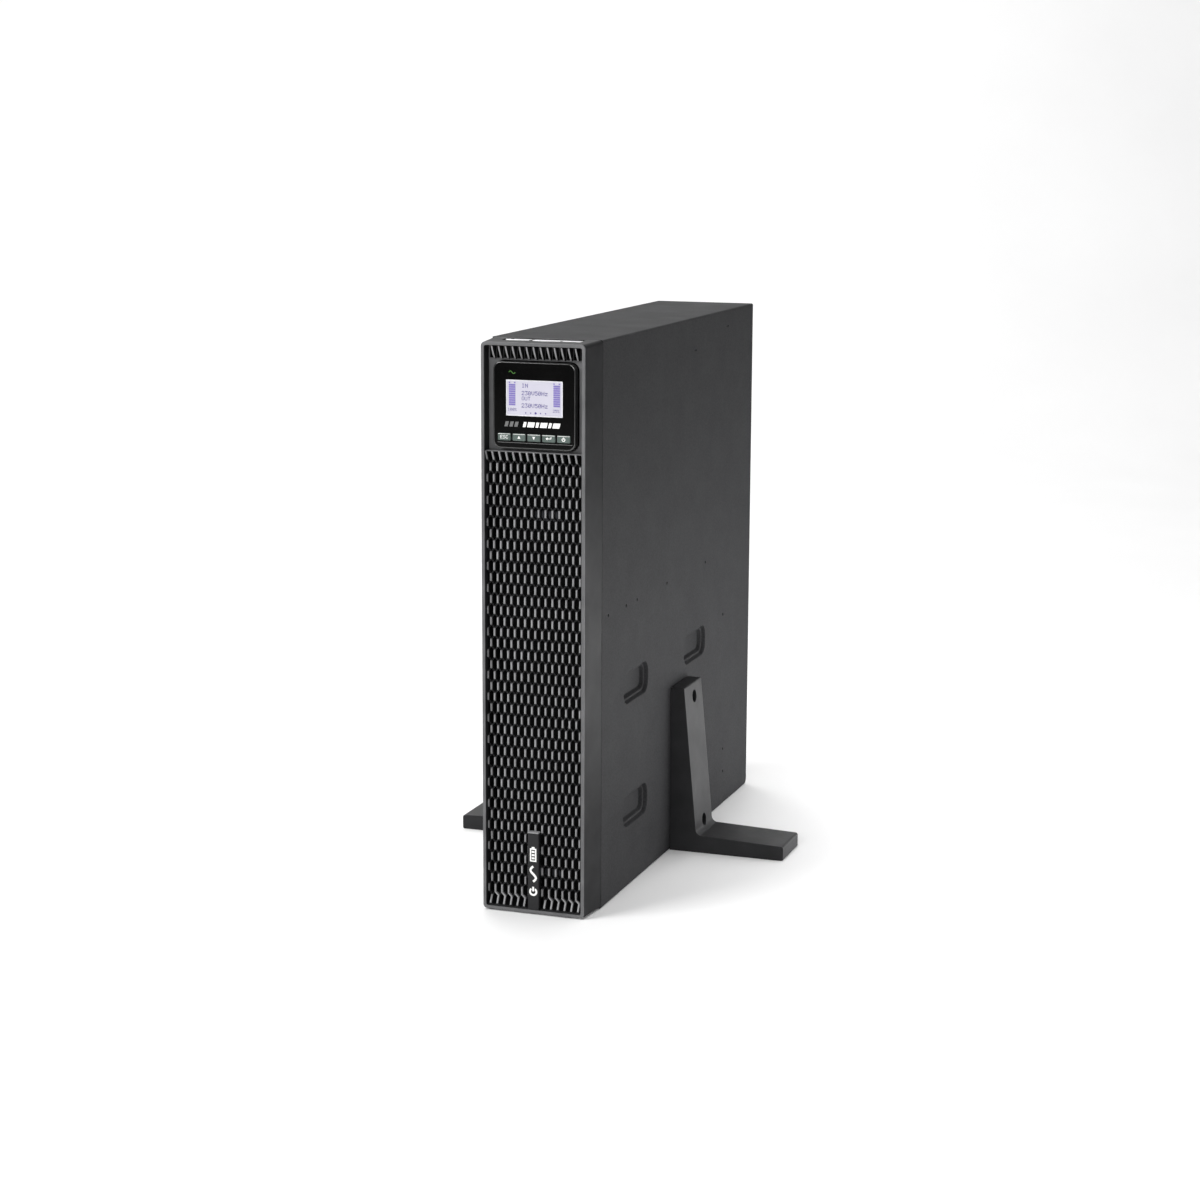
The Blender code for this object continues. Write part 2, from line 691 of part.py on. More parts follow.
def make_display_inside():
    inner_y = HEAD_Y + HEAD_WALL
    lens = prism("Y", HEAD_Y + 0.2, inner_y - 0.6, rectangle(SCREEN_CENTRE, SCREEN_SIZE))
    solid("display_lens", "screen", lens)
    panel = prism("Y", inner_y + GAP, inner_y + 3.3, rectangle(SCREEN_CENTRE, (52, 34)))
    solid("lcd_panel", "zinc_steel", panel)
    board = prism("Y", inner_y + 5.6, inner_y + 7.2, rectangle(HEAD_CENTRE, (56, 56)))
    solid("display_board", "board_green", board)
    outline = rounded_rectangle(HEAD_CENTRE, grown(HEAD_HOLLOW, -GAP), 3, 2)
    solid("display_back", "bezel_plastic", prism("Y", HEAD_BACK_Y - 1.5, HEAD_BACK_Y, outline))


def make_keys():
    """Each key has a flange behind the front wall, so that it can't fall out."""
    inner_y = HEAD_Y + HEAD_WALL
    for number, name in enumerate(KEY_NAMES):
        centre = (key_x(number), KEY_Z)
        stem = prism("Y", HEAD_Y - KEY_PROUD, inner_y + 4.4, rectangle(centre, KEY_SIZE))
        flange_size = (KEY_SIZE[0] - 0.4, KEY_FLANGE)
        flange = prism("Y", inner_y + GAP, inner_y + 1.3, rectangle(centre, flange_size))
        solid(f"key_{name}", "key_plastic", stem, [("join", flange)])


# ---- Batteries ----


def make_battery_tray():
    """A folded tray round the three batteries, standing on two runners."""
    left = BATTERY_CORNER[0] - GAP
    right = BATTERY_CORNER[0] + BATTERY_SIZE[0]
    low = BATTERY_CORNER[2] - GAP
    high = BATTERY_CORNER[2] + 2 * BATTERY_PITCH + BATTERY_SIZE[2] + TERMINAL_HEIGHT + GAP
    profile = [
        (left - SHEET, low - SHEET),
        (right, low - SHEET),
        (right, low),
        (left, low),
        (left, high),
        (right, high),
        (right, high + SHEET),
        (left - SHEET, high + SHEET),
    ]
    front = BATTERY_CORNER[1]
    back = front + BATTERY_SIZE[1]
    runners = [
        box((x - 1.5, front + 4, SHEET + GAP), (x + 1.5, back - 4, low - 0.4)) for x in (-22.0, 26.0)
    ]
    tray = prism("Y", front, back, profile)
    solid("battery_tray", "zinc_steel", tray, [("join", merged(runners))])


def make_batteries():
    for number in range(3):
        low = (BATTERY_CORNER[0], BATTERY_CORNER[1], BATTERY_CORNER[2] + number * BATTERY_PITCH)
        high = tuple(start + size for start, size in zip(low, BATTERY_SIZE))
        terminals = [
            box((x - 2.4, low[1] + 12, high[2] - 2), (x + 2.4, low[1] + 13, high[2] + TERMINAL_HEIGHT))
            for x in (low[0] + 12, high[0] - 12)
        ]
        changes = [("join", merged(terminals))]
        solid(f"battery_{number + 1}", "battery_case", box(low, high), changes)


def make_battery_lead():
    """Cable from the battery connector on the shelf to the power board."""
    curve = bpy.data.curves.new("battery_lead", "CURVE")
    curve.dimensions = "3D"
    curve.bevel_depth = LEAD_RADIUS * MM
    curve.bevel_resolution = 2
    curve.use_fill_caps = True
    route = smooth_route(LEAD_ROUTE, 5)
    spline = curve.splines.new("POLY")
    spline.points.add(len(route) - 1)
    for point, position in zip(spline.points, route):
        point.co = (*(position * MM), 1.0)
    curve.materials.append(finish_material("cable_red"))
    lead = bpy.data.objects.new("battery_lead", curve)
    bpy.context.scene.collection.objects.link(lead)
    connector = box((16, -106, SHELF_Z + SHEET + GAP), (32, -76 - GAP, SHELF_Z + 17))
    bevel(solid("battery_connector", "socket_plastic", connector), 1.0)


def smooth_route(corners, steps):
    """Points on a Catmull-Rom curve through the corners."""
    points = [Vector(corner) for corner in corners]
    points = [2 * points[0] - points[1], *points, 2 * points[-1] - points[-2]]
    route = []
    for before, start, end, after in zip(points, points[1:], points[2:], points[3:]):
        for step in range(steps):
            t = step / steps
            bend = 2 * before - 5 * start + 4 * end - after
            twist = -before + 3 * start - 3 * end + after
            route.append(start + 0.5 * t * ((end - before) + t * (bend + t * twist)))
    return [*route, points[-2]]


# ---- Boards and what they carry ----


def make_boards():
    for name, (low_y, low_z, high_y, high_z) in (("power", POWER_BOARD), ("control", CONTROL_BOARD)):
        plate = box((BOARD_X, low_y, low_z), (BOARD_X + BOARD_THICKNESS, high_y, high_z))
        solid(f"{name}_board", "board_green", plate)


def make_heatsink(number, low_z):
    """A comb section: a base plate with fins that stand up from it."""
    high_x = PARTS_X + (HEATSINK_FINS - 1) * FIN_PITCH + FIN_SIZE[0]
    fin_foot = low_z + HEATSINK_BASE
    outline = [(PARTS_X, low_z), (high_x, low_z)]
    for fin in reversed(range(HEATSINK_FINS)):
        start = PARTS_X + fin * FIN_PITCH
        outline += [
            (start + FIN_SIZE[0], fin_foot),
            (start + FIN_SIZE[0], fin_foot + FIN_SIZE[1]),
            (start, fin_foot + FIN_SIZE[1]),
            (start, fin_foot),
        ]
    outline = [point for index, point in enumerate(outline) if index not in (2, len(outline) - 1)]
    comb = prism("Y", *HEATSINK_YS, outline)
    solid(f"heatsink_{number}", "aluminium", comb)


def make_power_parts():
    for number, low_z in enumerate(HEATSINK_ZS, 1):
        make_heatsink(number, low_z)
    for number, centre in enumerate(CAPACITOR_CENTRES, 1):
        top = PARTS_X + CAPACITOR_LENGTH
        profile = [(PARTS_X, CAPACITOR_RADIUS), (top - 1, CAPACITOR_RADIUS), (top, CAPACITOR_RADIUS - 1)]
        can = turned("X", centre, profile, 20)
        solid(f"bulk_capacitor_{number}", "capacitor_sleeve", can, smooth=True)
    for number, centre in enumerate(INDUCTOR_CENTRES, 1):
        profile = [(PARTS_X, 18), (PARTS_X + 3, 21), (PARTS_X + 19, 21), (PARTS_X + 22, 18)]
        eye = prism("X", PARTS_X - 2, PARTS_X + 24, circle(centre, 9, 20))
        ring = turned("X", centre, profile, 20)
        solid(f"inductor_{number}", "copper_winding", ring, [("cut", eye)], smooth=True)
    core = box((PARTS_X, 122, 152), (PARTS_X + 34, 164, 186))
    winding = box((PARTS_X + 5, 127, 147), (PARTS_X + 29, 159, 191))
    solid("transformer", "battery_case", core, [("join", winding)])
    for number, low_y in enumerate((20.0, 58.0), 1):
        case = box((PARTS_X, low_y, 112), (PARTS_X + 22, low_y + 28, 126))
        bevel(solid(f"relay_{number}", "socket_plastic", case), 0.8)


# ---- Fan ----


def quadrant_sectors(inner, outer, half_strut, low, high):
    """The four open quarters of a ring, with a strut's width left between them."""
    turn = math.degrees(math.asin(half_strut / ((inner + outer) / 2)))
    return [
        prism("Y", low, high, sector(FAN_CENTRE, inner, outer, start + turn, start + 90 - turn))
        for start in (45, 135, 225, 315)
    ]


def make_fan_frame():
    strut_y = FAN_BACK_Y - FAN_STRUT
    block = prism(
        "Y", FAN_FRONT_Y, FAN_BACK_Y, rounded_rectangle(FAN_CENTRE, (FAN_SIZE, FAN_SIZE), 3, 2)
    )
    bore = prism("Y", FAN_FRONT_Y - 2, strut_y, circle(FAN_CENTRE, FAN_BORE, 32))
    quarters = quadrant_sectors(HUB_RADIUS, FAN_BORE, 2.0, strut_y - 1, FAN_BACK_Y + 2)
    solid("fan_frame", "fan_plastic", block, [("cut", bore), ("cut", merged(quarters))])


def blade(number):
    """One twisted blade, as a closed shell with its root inside the hub."""
    middle = 2 * math.pi * number / BLADES
    centre_y = (FAN_FRONT_Y + FAN_BACK_Y - FAN_STRUT) / 2
    points = []
    for radius, half_chord, pitch in ((HUB_RADIUS - 2, 8.5, 52), (BLADE_RADIUS, 13.0, 32)):
        slope = math.radians(pitch)
        for edge in (-1, 1):
            swing = middle + edge * half_chord * math.cos(slope) / radius
            for face in (-0.7, 0.7):
                y = centre_y + edge * half_chord * math.sin(slope) + face
                x = FAN_CENTRE[0] + radius * math.cos(swing)
                z = FAN_CENTRE[1] + radius * math.sin(swing)
                points.append((x, y, z))
    faces = [(0, 1, 3, 2), (4, 5, 7, 6), (0, 1, 5, 4), (2, 3, 7, 6), (0, 2, 6, 4), (1, 3, 7, 5)]
    return points, faces


def make_fan_rotor():
    back = FAN_BACK_Y - FAN_STRUT - 0.6
    profile = [(FAN_FRONT_Y + 1, HUB_RADIUS - 1.5), (FAN_FRONT_Y + 2.5, HUB_RADIUS), (back, HUB_RADIUS)]
    hub = turned("Y", FAN_CENTRE, profile, 28)
    blades = merged([blade(number) for number in range(BLADES)])
    axis_point = (FAN_CENTRE[0], (FAN_FRONT_Y + back) / 2, FAN_CENTRE[1])
    solid("fan_rotor", "fan_plastic", hub, [("join", blades)], origin=axis_point, smooth=True)


def make_fan_guard():
    """Pressed guard: rings, four spokes, and an ear at each corner for its screw."""
    low, high = FLANGE_Y, FLANGE_Y + FLANGE_THICKNESS
    disc = prism("Y", low, high, circle(FAN_CENTRE, GUARD_RADIUS, 32))
    quarters = []
    for inner, outer in zip(GUARD_RINGS, GUARD_RINGS[1:]):
        edges = (inner + GUARD_WIRE / 2, outer - GUARD_WIRE / 2)
        quarters += quadrant_sectors(*edges, 1.4, low - 2, high + 2)
    ears = []
    for side_x in (-1, 1):
        for side_z in (-1, 1):
            ear = (FAN_CENTRE[0] + side_x * EAR_OFFSET, FAN_CENTRE[1] + side_z * EAR_OFFSET)
            root = (ear[0] - side_x * 8, ear[1] - side_z * 8)
            across = (side_z * 2.2, -side_x * 2.2)
            neck = [
                (root[0] - across[0], root[1] - across[1]),
                (ear[0] - across[0], ear[1] - across[1]),
                (ear[0] + across[0], ear[1] + across[1]),
                (root[0] + across[0], root[1] + across[1]),
            ]
            ears.append(prism("Y", low, high, neck))
    solid("fan_guard", "satin_metal", disc, [("cut", merged(quarters)), ("join", merged(ears))])


# ---- Rear fittings ----


def panel_fitting(name, finish, centre, body, flange, inner_depth, recesses=()):
    """A body through the rear panel with a flange outside it, and recesses as (outline, depth)."""
    face = FLANGE_Y + FLANGE_THICKNESS
    block = prism("Y", face - inner_depth, face, rectangle(centre, body))
    rim = prism("Y", FLANGE_Y, face, rounded_rectangle(centre, flange, 1.5, 2))
    cutters = [prism("Y", face - depth, face + 2, outline) for outline, depth in recesses]
    changes = [("join", rim)]
    if cutters:
        changes.append(("cut", merged(cutters)))
    solid(name, finish, block, changes)


def make_rear_fittings():
    for number, x in enumerate(OUTLET_XS, 1):
        name = f"outlet_bank_{number}"
        centre = (x, OUTLET_CENTRE_Z)
        recesses = [
            (rectangle((x, OUTLET_LOW_Z + n * OUTLET_PITCH), OUTLET_RECESS), OUTLET_DEPTH)
            for n in range(OUTLETS_PER_BANK)
        ]
        panel_fitting(name, "socket_plastic", centre, OUTLET_BODY, grown(OUTLET_BODY, 1.5), 22, recesses)
    inlet_recess = [(rectangle(INLET_CENTRE, INLET_RECESS), 15)]
    panel_fitting("power_inlet", "socket_plastic", INLET_CENTRE, INLET_BODY, (50, 26), 22, inlet_recess)
    usb_recess = [(rectangle(USB_CENTRE, USB_RECESS), 9)]
    panel_fitting("usb_port", "satin_metal", USB_CENTRE, USB_BODY, (15, 14), 16, usb_recess)
    panel_fitting("serial_port", "satin_metal", SERIAL_CENTRE, SERIAL_BODY, (12.6, 31), 14)
    panel_fitting("contact_block", "connector_green", CONTACT_CENTRE, CONTACT_BODY, (11, 14), 16)
    sockets = [
        (rectangle((PACK_CENTRE[0] + offset, PACK_CENTRE[1]), PACK_SOCKET), 12) for offset in (-12, 12)
    ]
    panel_fitting("battery_pack_port", "socket_plastic", PACK_CENTRE, PACK_BODY, (56, 34), 20, sockets)


def make_slot_cover():
    plate = prism("Y", FLANGE_Y, FLANGE_Y + 1.5, rectangle(SLOT_CENTRE, (47, 104)))
    solid("slot_cover", "steel_cover", plate)


def make_ground_stud():
    profile = [
        (FLANGE_Y - 6, 2.4),
        (FLANGE_Y, 2.4),
        (FLANGE_Y, 4.6),
        (FLANGE_Y + 2.0, 4.6),
        (FLANGE_Y + 2.0, 2.4),
        (BACKMOST_Y, 2.0),
    ]
    solid("ground_stud", "brass", turned("Y", STUD_CENTRE, profile, 12))


def make_breaker():
    """Resettable breaker: a barrel through the panel, and the button that pops out when it trips."""
    inside = REAR_PANEL_Y - SHEET - GAP
    profile = [
        (inside - 18, 9.0),
        (inside, 9.0),
        (inside, 6.0),
        (FLANGE_Y, 6.0),
        (FLANGE_Y, 8.0),
        (FLANGE_Y + 1.8, 7.4),
    ]
    barrel = turned("Y", BREAKER_CENTRE, profile, 20)
    bore = prism("Y", inside - 10, BACKMOST_Y + 2, circle(BREAKER_CENTRE, BUTTON_RADIUS + GAP, 16))
    solid("breaker_body", "socket_plastic", barrel, [("cut", bore)], smooth=True)
    tip = [(inside - 9, BUTTON_RADIUS), (BACKMOST_Y - 0.5, BUTTON_RADIUS), (BACKMOST_Y, BUTTON_RADIUS - 0.5)]
    button = turned("Y", BREAKER_CENTRE, tip, 16)
    axis_point = (BREAKER_CENTRE[0], BACKMOST_Y, BREAKER_CENTRE[1])
    solid("breaker_button", "breaker_button", button, origin=axis_point, smooth=True)


def main():
    for leftover in list(bpy.data.objects):
        bpy.data.objects.remove(leftover, do_unlink=True)
    make_side_cover()
    make_base_tray()
    make_front_panel()
    make_battery_door()
    make_bay_wall()
    make_rear_panel()
    make_foot("right", 1)
    make_foot("left", -1)
    make_bezel_frame()
    make_bezel_grille()
    make_badge_bar()
    make_latch()
    make_display_head()
    make_display_inside()
    make_keys()
    make_battery_tray()
    make_batteries()
    make_battery_lead()
    make_boards()
    make_power_parts()
    make_fan_frame()
    make_fan_rotor()
    make_fan_guard()
    make_rear_fittings()
    make_slot_cover()
    make_ground_stud()
    make_breaker()


main()
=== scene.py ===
import json
import math

import bmesh
import bpy
from mathutils import Matrix, Vector
from mathutils.geometry import delaunay_2d_cdt


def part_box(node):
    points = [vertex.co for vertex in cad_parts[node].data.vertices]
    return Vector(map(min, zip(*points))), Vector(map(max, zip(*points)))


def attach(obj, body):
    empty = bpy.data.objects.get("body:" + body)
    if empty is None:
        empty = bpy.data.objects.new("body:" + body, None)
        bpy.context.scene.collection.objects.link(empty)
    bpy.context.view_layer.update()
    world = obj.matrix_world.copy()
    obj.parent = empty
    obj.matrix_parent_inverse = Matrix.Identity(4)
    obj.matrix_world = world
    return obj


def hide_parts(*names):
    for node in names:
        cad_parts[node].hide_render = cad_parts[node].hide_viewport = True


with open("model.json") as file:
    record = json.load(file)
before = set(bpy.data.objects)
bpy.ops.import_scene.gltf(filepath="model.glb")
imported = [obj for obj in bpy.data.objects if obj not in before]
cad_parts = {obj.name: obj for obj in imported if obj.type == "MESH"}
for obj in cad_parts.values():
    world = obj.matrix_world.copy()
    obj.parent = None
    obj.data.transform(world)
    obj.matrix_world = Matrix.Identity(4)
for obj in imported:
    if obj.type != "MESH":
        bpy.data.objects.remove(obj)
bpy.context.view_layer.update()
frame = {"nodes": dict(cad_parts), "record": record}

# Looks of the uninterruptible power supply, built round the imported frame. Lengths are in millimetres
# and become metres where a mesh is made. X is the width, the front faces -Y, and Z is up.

MM = 0.001
WELD = 0.002
SMOOTH_ANGLE = 35.0
BEVEL_ANGLE = 40.0


def cad(node):
    """A CAD node's lowest and highest corners, in millimetres."""
    low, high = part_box(node)
    return low / MM, high / MM


def front_view(node):
    """The (x, z) centre and size of a CAD node, as seen from the front."""
    low, high = cad(node)
    return ((low.x + high.x) / 2, (low.z + high.z) / 2), (high.x - low.x, high.z - low.z)


# ---- Outlines: lists of (first, second) coordinates, counterclockwise ----


def rectangle(centre, size):
    half_u, half_v = size[0] / 2, size[1] / 2
    corners = ((-half_u, -half_v), (half_u, -half_v), (half_u, half_v), (-half_u, half_v))
    return [(centre[0] + u, centre[1] + v) for u, v in corners]


def arc(centre, radius, start, end, steps):
    angles = [math.radians(start + (end - start) * step / steps) for step in range(steps + 1)]
    return [(centre[0] + radius * math.cos(a), centre[1] + radius * math.sin(a)) for a in angles]


def rounded(centre, size, radius, steps=6):
    outline = []
    for quarter, (side_u, side_v) in enumerate(((1, 1), (-1, 1), (-1, -1), (1, -1))):
        corner = (
            centre[0] + side_u * (size[0] / 2 - radius),
            centre[1] + side_v * (size[1] / 2 - radius),
        )
        outline += arc(corner, radius, quarter * 90, quarter * 90 + 90, steps)
    return outline


def circle(centre, radius, steps=32):
    return arc(centre, radius, 0, 360, steps)[:-1]


def clipped(outline, low, high):
    """The part of a convex outline whose second coordinate is between two values."""
    for limit, sign in ((low, 1), (high, -1)):
        kept = []
        for start, end in zip(outline, outline[1:] + outline[:1]):
            inside_start, inside_end = sign * (start[1] - limit) >= 0, sign * (end[1] - limit) >= 0
            if inside_start:
                kept.append(start)
            if inside_start != inside_end:
                share = (limit - start[1]) / (end[1] - start[1])
                kept.append((start[0] + share * (end[0] - start[0]), limit))
        outline = kept
    return outline


def grown(size, margin):
    return size[0] + 2 * margin, size[1] + 2 * margin


# ---- Closed shells: (points, faces) ----

PLANES = {"X": (1, 2, 0), "Y": (0, 2, 1), "Z": (0, 1, 2)}


def place(axis, first, second, along):
    point = [0.0, 0.0, 0.0]
    for index, value in zip(PLANES[axis], (first, second, along)):
        point[index] = value
    return tuple(point)


def skin(rings, closed):
    """Quads that join rings of equal length, and the last to the first if closed."""
    count = len(rings[0])
    points = [point for ring in rings for point in ring]
    faces = []
    for ring in range(len(rings) if closed else len(rings) - 1):
        low, high = ring * count, (ring + 1) % len(rings) * count
        for index in range(count):
            after = (index + 1) % count
            faces.append((low + index, low + after, high + after, high + index))
    return points, faces


def loft(axis, sections):
    """Closed shell with flat ends through outlines, each given as (position along axis, outline)."""
    rings = [[place(axis, u, v, along) for u, v in outline] for along, outline in sections]
    points, faces = skin(rings, False)
    count = len(rings[0])
    faces += [tuple(range(count)), tuple(range(len(points) - count, len(points)))]
    return points, faces


def hoop(axis, sections):
    """Closed ring-shaped shell through outlines, each given as (position along axis, outline)."""
    return skin([[place(axis, u, v, along) for u, v in outline] for along, outline in sections], True)


def prism(axis, low, high, outline):
    return loft(axis, [(low, outline), (high, outline)])


def slabs(outlines, low, high):
    """One flat slab along Y for each outline."""
    return merged([prism("Y", low, high, outline) for outline in outlines])


def box(low, high):
    centre = ((low[0] + high[0]) / 2, (low[1] + high[1]) / 2)
    return prism("Z", low[2], high[2], rectangle(centre, (high[0] - low[0], high[1] - low[1])))


def turned(axis, centre, profile, steps=32):
    return loft(axis, [(along, circle(centre, radius, steps)) for along, radius in profile])


def rod(start, end, radius, steps=10):
    """A round bar between two points."""
    start, end = Vector(start), Vector(end)
    turn = (end - start).to_track_quat("Z", "Y")
    rings = [
        [tuple(middle + turn @ Vector((u, v, 0))) for u, v in circle((0, 0), radius, steps)]
        for middle in (start, end)
    ]
    points, faces = skin(rings, False)
    return points, faces + [tuple(range(steps)), tuple(range(steps, 2 * steps))]


def wire_ring(axis, centre, radius, along, thickness, steps=56, sides=10):
    """A torus round a line along axis."""
    rings = []
    for u, v in circle((0, 0), thickness, sides):
        rings.append((along + v, circle(centre, radius + u, steps)))
    return hoop(axis, rings)


def merged(shells):
    points, faces = [], []
    for shell_points, shell_faces in shells:
        offset = len(points)
        points += shell_points
        faces += [tuple(index + offset for index in face) for face in shell_faces]
    return points, faces


def on_side(side, shell):
    points, faces = shell
    return [(side * x, y, z) for x, y, z in points], faces


def triangulated(outer, holes=()):
    """Points and triangles that fill an outline round its holes, all given anticlockwise."""
    points, outlines = [], []
    for outline in (outer, *holes):
        outlines.append(list(range(len(points), len(points) + len(outline))))
        points += [Vector(point) for point in outline]
    found = delaunay_2d_cdt(points, [], outlines, 0, 1e-4)
    triangles = [tuple(t) for t, sources in zip(found[2], found[5]) if set(sources) == {0}]
    return [tuple(point) for point in found[0]], triangles


def rim(triangles):
    """The directed edges that only one triangle has."""
    edges = {(t[i], t[(i + 1) % 3]) for t in triangles for i in range(3)}
    return [(a, b) for a, b in edges if (b, a) not in edges]


def plate(axis, low, high, outer, holes=()):
    """A flat plate with holes through it."""
    flat, triangles = triangulated(outer, holes)
    count = len(flat)
    points = [place(axis, *point, along) for along in (low, high) for point in flat]
    faces = triangles + [tuple(index + count for index in triangle) for triangle in triangles]
    faces += [(a, b, b + count, a + count) for a, b in sorted(rim(triangles))]
    return points, faces


# ---- Pieces ----


def linked(name, mesh):
    made = bpy.data.objects.new(name, mesh)
    bpy.context.scene.collection.objects.link(made)
    return made


def new_object(name, shell):
    points, faces = shell
    mesh = bpy.data.meshes.new(name)
    mesh.from_pydata([Vector(point) * MM for point in points], [], faces)
    made = linked(name, mesh)
    joined(made, 0)
    return made


def joined(made, within):
    """Makes corners closer than a distance one, and turns every face outwards."""
    shape = bmesh.new()
    shape.from_mesh(made.data)
    if within:
        bmesh.ops.remove_doubles(shape, verts=shape.verts, dist=within * MM)
    bmesh.ops.recalc_face_normals(shape, faces=shape.faces)
    shape.to_mesh(made.data)
    shape.free()


def apply_modifiers(made):
    graph = bpy.context.evaluated_depsgraph_get()
    mesh = bpy.data.meshes.new_from_object(made.evaluated_get(graph))
    made.modifiers.clear()
    made.data = mesh


def carve(made, *shells):
    """Cuts shells out of a piece, and keeps the result as its mesh."""
    cutter = new_object("cutter", merged(shells))
    modifier = made.modifiers.new("carve", "BOOLEAN")
    modifier.operation = "DIFFERENCE"
    modifier.object = cutter
    modifier.solver = "EXACT"
    bpy.context.view_layer.update()
    apply_modifiers(made)
    bpy.data.objects.remove(cutter, do_unlink=True)


def dress(made, finish, body, nodes=(), edge=0.0, segments=2):
    """Gives a mesh its finish, soft edges and even shading, and lets it ride in place of CAD nodes."""
    made.data.materials.clear()
    made.data.materials.append(finish[0])
    made.data.shade_smooth()
    made.data.set_sharp_from_angle(angle=math.radians(SMOOTH_ANGLE))
    if edge:
        soft = made.modifiers.new("edges", "BEVEL")
        soft.width = edge * MM
        soft.segments = segments
        soft.limit_method = "ANGLE"
        soft.angle_limit = math.radians(BEVEL_ANGLE)
        soft.harden_normals = True
    even = made.modifiers.new("even_shading", "WEIGHTED_NORMAL")
    even.keep_sharp = True
    even.weight = 90
    if nodes:
        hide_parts(*nodes)
    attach(made, body)
    return made


def piece(name, shell, finish, body, nodes=(), cuts=(), edge=0.0, segments=2):
    """A detailed piece that rides on a body and stands for the CAD nodes named."""
    made = new_object(name, shell)
    if cuts:
        carve(made, *cuts)
    return dress(made, finish, body, nodes, edge, segments)


def body_of_node(node):
    bodies = frame["record"]["behaviour"]["bodies"]
    return next(body for body, members in bodies.items() if node in members)


def refined(node, finish, edge):
    """A CAD node's own solid with its flat faces whole again and its edges rounded."""
    shape = bmesh.new()
    shape.from_mesh(frame["nodes"][node].data)
    bmesh.ops.remove_doubles(shape, verts=shape.verts, dist=WELD * MM)
    bmesh.ops.dissolve_limit(
        shape, angle_limit=math.radians(1), verts=shape.verts, edges=shape.edges
    )
    bmesh.ops.triangulate(shape, faces=[face for face in shape.faces if len(face.verts) > 4])
    mesh = bpy.data.meshes.new(f"{node}_body")
    shape.to_mesh(mesh)
    shape.free()
    return dress(linked(f"{node}_body", mesh), finish, body_of_node(node), [node], edge)


# ---- Materials ----


class Shader:
    """A Principled material whose nodes are added and linked by short calls."""

    def __init__(self, name, roughness, metallic=0.0, **values):
        self.material = bpy.data.materials.new(name)
        self.material.use_nodes = True
        self.tree = self.material.node_tree
        self.base = self.tree.nodes["Principled BSDF"]
        self.base.inputs["Roughness"].default_value = roughness
        self.base.inputs["Metallic"].default_value = metallic
        for socket, value in values.items():
            self.base.inputs[socket.replace("_", " ")].default_value = value
        self.where = self.node("TexCoord").outputs["Object"]

    def node(self, kind, **settings):
        made = self.tree.nodes.new(f"ShaderNode{kind}")
        for name, value in settings.items():
            setattr(made, name, value)
        return made

    def link(self, start, end):
        self.tree.links.new(start, end)

    def stretched(self, scale):
        mapping = self.node("Mapping")
        mapping.inputs["Scale"].default_value = scale
        self.link(self.where, mapping.inputs["Vector"])
        return mapping.outputs["Vector"]

    def noise(self, scale, detail=3.0, stretch=(1, 1, 1)):
        made = self.node("TexNoise")
        made.inputs["Scale"].default_value = scale
        made.inputs["Detail"].default_value = detail
        self.link(self.stretched(stretch), made.inputs["Vector"])
        return made.outputs["Fac"]

    def cells(self, scale):
        made = self.node("TexVoronoi", feature="SMOOTH_F1")
        made.inputs["Scale"].default_value = scale
        self.link(self.where, made.inputs["Vector"])
        return made.outputs["Distance"]

    def ramp(self, source, stops):
        made = self.node("ValToRGB")
        elements = made.color_ramp.elements
        while len(elements) < len(stops):
            elements.new(0.5)
        for element, (position, colour) in zip(elements, stops):
            element.position = position
            element.color = (*colour, 1.0) if len(colour) == 3 else colour
        self.link(source, made.inputs["Fac"])
        return made.outputs["Color"]

    def remap(self, source, low, high, bottom, top):
        made = self.node("MapRange")
        for socket, value in zip(("From Min", "From Max", "To Min", "To Max"), (low, high, bottom, top)):
            made.inputs[socket].default_value = value
        self.link(source, made.inputs["Value"])
        return made.outputs["Result"]

    def colour(self, source):
        self.link(source, self.base.inputs["Base Color"])

    def tinted(self, source, colour, spread):
        """Colours the surface between a darker and a lighter tone, and returns the colour."""
        shade = self.ramp(source, tones(colour, spread))
        self.colour(shade)
        return shade

    def roughness(self, source, bottom, top, low=0.3, high=0.7):
        self.link(self.remap(source, low, high, bottom, top), self.base.inputs["Roughness"])

    def bump(self, source, depth, under=None, strength=1.0):
        """A bump of a depth in millimetres, over another bump if one is given."""
        made = self.node("Bump")
        made.inputs["Strength"].default_value = strength
        made.inputs["Distance"].default_value = depth * MM
        self.link(source, made.inputs["Height"])
        if under:
            self.link(under, made.inputs["Normal"])
        self.link(made.outputs["Normal"], self.base.inputs["Normal"])
        return made.outputs["Normal"]


def tones(colour, spread):
    """A darker and a lighter stop of one colour."""
    dark = tuple(value * (1 - spread) for value in colour)
    light = tuple(min(1.0, value * (1 + spread)) for value in colour)
    return [(0.35, dark), (0.65, light)]


def powder_coat(name, colour):
    """Black powder coat on steel: an orange-peel skin with fine sparkle."""
    shader = Shader(name, 0.6, Specular_IOR_Level=0.05)
    shader.tinted(shader.noise(900, 4), colour, 0.2)
    shader.roughness(shader.noise(35, 5), 0.58, 0.63)
    peel = shader.bump(shader.cells(1300), 0.03, strength=0.5)
    shader.bump(shader.noise(3200, 2), 0.012, under=peel, strength=0.6)
    return shader.material


def grained_plastic(name, colour, roughness, grain=2400, depth=0.02, shine=0.3):
    """Moulded plastic with a fine spark-eroded grain and faint handling marks."""
    shader = Shader(name, roughness, Specular_IOR_Level=shine)
    shader.tinted(shader.noise(60, 5), colour, 0.12)
    shader.roughness(shader.noise(28, 6), roughness - 0.05, roughness + 0.06)
    shader.bump(shader.cells(grain), depth, strength=0.6)
    return shader.material


